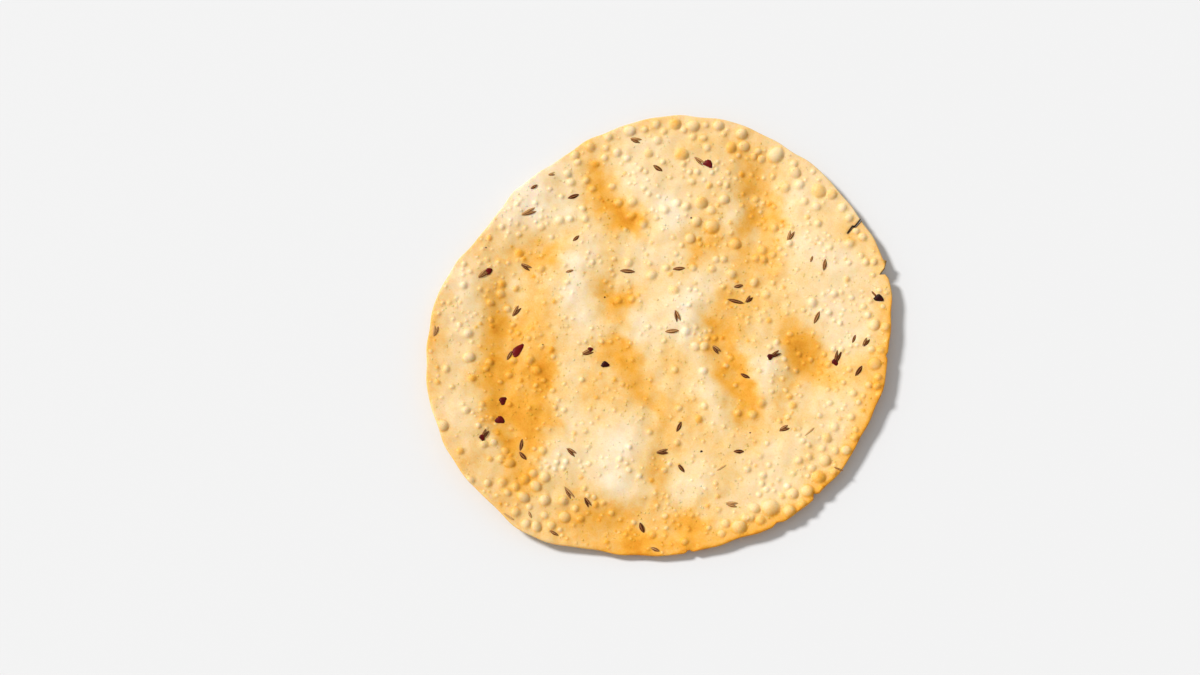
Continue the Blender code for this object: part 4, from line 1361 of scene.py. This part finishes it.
@dataclass
class Spices:
    """The seeds, flakes and stalks that lie half sunk in the crust."""

    form: DiscForm
    seed_girth: float = 1.55
    full_length: float = 4.6
    seed_lift: float = 0.05
    flake_lift: float = 0.15
    half_turn: float = 7.0
    half_tone: float = 0.18
    flake_width: float = 2.8
    flake_depth: float = 1.0
    stalk_width: float = 0.8
    stalk_depth: float = 0.6

    def point(self, spice: Spice, aside: float, size: tuple[float, float, float], lift: float) -> Point:
        """Where one thing goes, lying along its heading on the crust.

        Args:
            spice: the thing.
            aside: how far to its left it is moved.
            size: its length, width and depth in millimetres.
            lift: how high its middle is above the crust.

        Returns:
            The point.
        """
        cosine, sine = direction(spice.heading)
        x = spice.x - aside * sine
        y = spice.y + aside * cosine
        reach = np.array([-0.5, 0.0, 0.5]) * spice.length
        ahead = self.form.top_height(x + cosine * reach, y + sine * reach)
        over = self.form.top_height(x - sine * reach, y + cosine * reach)
        along = Vector((cosine, sine, (ahead[2] - ahead[0]) / spice.length)).normalized()
        across = Vector((-sine, cosine, (over[2] - over[0]) / spice.length)).normalized()
        up = along.cross(across).normalized()
        across = up.cross(along)
        turn = Matrix((along, across, up)).transposed().to_euler()
        place = self.form.place(x, y, float(ahead[1]) + lift)
        return Point(place, tuple(turn), tuple(part * MM for part in size), spice.tone)

    def seeds(self) -> bpy.types.Object:
        """The cumin seeds, whole and split."""
        draw = random.Random(5)
        points = []
        for spice in SPICES:
            girth = self.seed_girth * draw.uniform(0.9, 1.1) * min(1.0, spice.length / self.full_length)
            if spice.kind is SEED:
                points.append(self.point(spice, 0.0, (spice.length, girth, girth * 0.8), self.seed_lift))
            if spice.kind is SPLIT:
                for side in (-1, 1):
                    half = spice._replace(
                        heading=spice.heading + side * self.half_turn,
                        length=spice.length * draw.uniform(0.82, 1.0),
                        tone=min(1.0, max(0.0, spice.tone + side * self.half_tone)),
                    )
                    size = (half.length, girth * 0.66, girth * 0.7)
                    points.append(self.point(half, side * girth * 0.3, size, self.seed_lift))
        inputs = {"Rings": 13, "Sides": 20, "Ribs": 5.0, "Rib Depth": 0.1, "Bluntness": 0.9, "Bend": 0.05}
        return Scatter("cumin_seeds", spindle_tree(), inputs).build(points, HuskFinish().material())

    def flakes(self) -> bpy.types.Object:
        """The flakes of chilli and the two black peppery bits."""
        points = []
        for spice in SPICES + LOOSE_BITS:
            if spice.kind is FLAKE:
                width = min(self.flake_width, spice.length * 0.75)
                size = (spice.length, width, min(self.flake_depth, spice.length * 0.4))
                points.append(self.point(spice, 0.0, size, self.flake_lift))
            if spice.kind is PEPPER:
                size = (spice.length, spice.length * 0.65, spice.length * 0.45)
                points.append(self.point(spice, 0.0, size, self.flake_lift))
        inputs = {"Roughness": 0.9, "Seed": 3.0, "Taper": 1.1}
        return Scatter("chilli_flakes", chunk_tree(), inputs).build(points, ChilliFinish().material())

    def stalks(self) -> bpy.types.Object:
        """The thin stalks."""
        stems = [spice for spice in SPICES + LOOSE_BITS if spice.kind is STEM]
        sides = (self.stalk_width, self.stalk_depth)
        points = [self.point(stem, 0.0, (stem.length, *sides), self.seed_lift) for stem in stems]
        inputs = {"Rings": 9, "Sides": 8, "Ribs": 0.0, "Rib Depth": 0.0, "Bluntness": 0.3, "Bend": 0.05}
        return Scatter("thin_stalks", spindle_tree(), inputs).build(points, HuskFinish().material())


@dataclass
class Studio:
    """A plain pale floor, soft light from the upper left, and a camera high in front of the disc."""

    elevation: float = 70.0
    distance: float = 1.091
    lens: float = 85.0
    aim: tuple[float, float, float] = (-0.0231, -0.0028, 0.003)
    floor_size: float = 6.0
    floor_colour: Colour = (0.8, 0.8, 0.8)
    key_strength: float = 3.25
    key_azimuth: float = 152.0
    key_elevation: float = 41.0
    key_softness: float = 12.0
    sky_strength: float = 0.44

    def camera(self) -> None:
        """Sets the camera."""
        data = bpy.data.cameras.new("camera")
        data.lens = self.lens
        data.sensor_width = 36.0
        data.clip_start = 0.05
        data.clip_end = 20.0
        camera = stood("camera", data)
        level, rise = direction(self.elevation)
        back = Vector((0.0, -level, rise))
        camera.location = Vector(self.aim) + back * self.distance
        camera.rotation_mode = "QUATERNION"
        camera.rotation_quaternion = (-back).to_track_quat("-Z", "Y")
        bpy.context.scene.camera = camera

    def floor(self) -> None:
        """Lays the floor."""
        half = self.floor_size / 2
        data = bpy.data.meshes.new("floor")
        corners = [(-half, -half, 0.0), (half, -half, 0.0), (half, half, 0.0), (-half, half, 0.0)]
        data.from_pydata(corners, [], [(0, 1, 2, 3)])
        graph = ShaderGraph("pale_floor", Base_Color=(*self.floor_colour, 1.0), Roughness=0.9)
        data.materials.append(graph.material)
        floor = stood("floor", data)

    def lights(self) -> None:
        """Sets the key light and the pale sky that fills the shadows."""
        data = bpy.data.lights.new("key", "SUN")
        data.energy = self.key_strength
        data.angle = math.radians(self.key_softness)
        key = stood("key", data)
        x, y = direction(self.key_azimuth)
        level, rise = direction(self.key_elevation)
        towards = Vector((x * level, y * level, rise))
        key.rotation_mode = "QUATERNION"
        key.rotation_quaternion = towards.to_track_quat("Z", "Y")
        world = bpy.data.worlds.new("sky")
        world.use_nodes = True
        sky = world.node_tree.nodes["Background"]
        sky.inputs["Color"].default_value = (1.0, 1.0, 1.0, 1.0)
        sky.inputs["Strength"].default_value = self.sky_strength
        bpy.context.scene.world = world

    def build(self) -> None:
        """Sets the whole studio, with colours shown as they are."""
        self.camera()
        self.floor()
        self.lights()
        bpy.context.scene.view_settings.view_transform = "Standard"


def main() -> None:
    """Builds the studio and the papadum, and reports each piece."""
    logging.basicConfig(level=logging.INFO, format="%(name)s %(message)s")
    Studio().build()
    form = DiscForm()
    blisters = form.blisters()
    LOG.info("%d blisters", len(blisters))
    sheet = Crust(form, blisters)
    crust = sheet.build()
    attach(crust, BODY)
    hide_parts(NODE)
    sown = Spices(form)
    for piece, slot in (
        (FineBlisters(form, sheet, CrustFinish()).build(), "toasted_crust"),
        (sown.seeds(), "seed_husk"),
        (sown.flakes(), "chilli_flake"),
        (sown.stalks(), "seed_husk"),
    ):
        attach(piece, BODY)


if __name__ == "__main__":
    main()
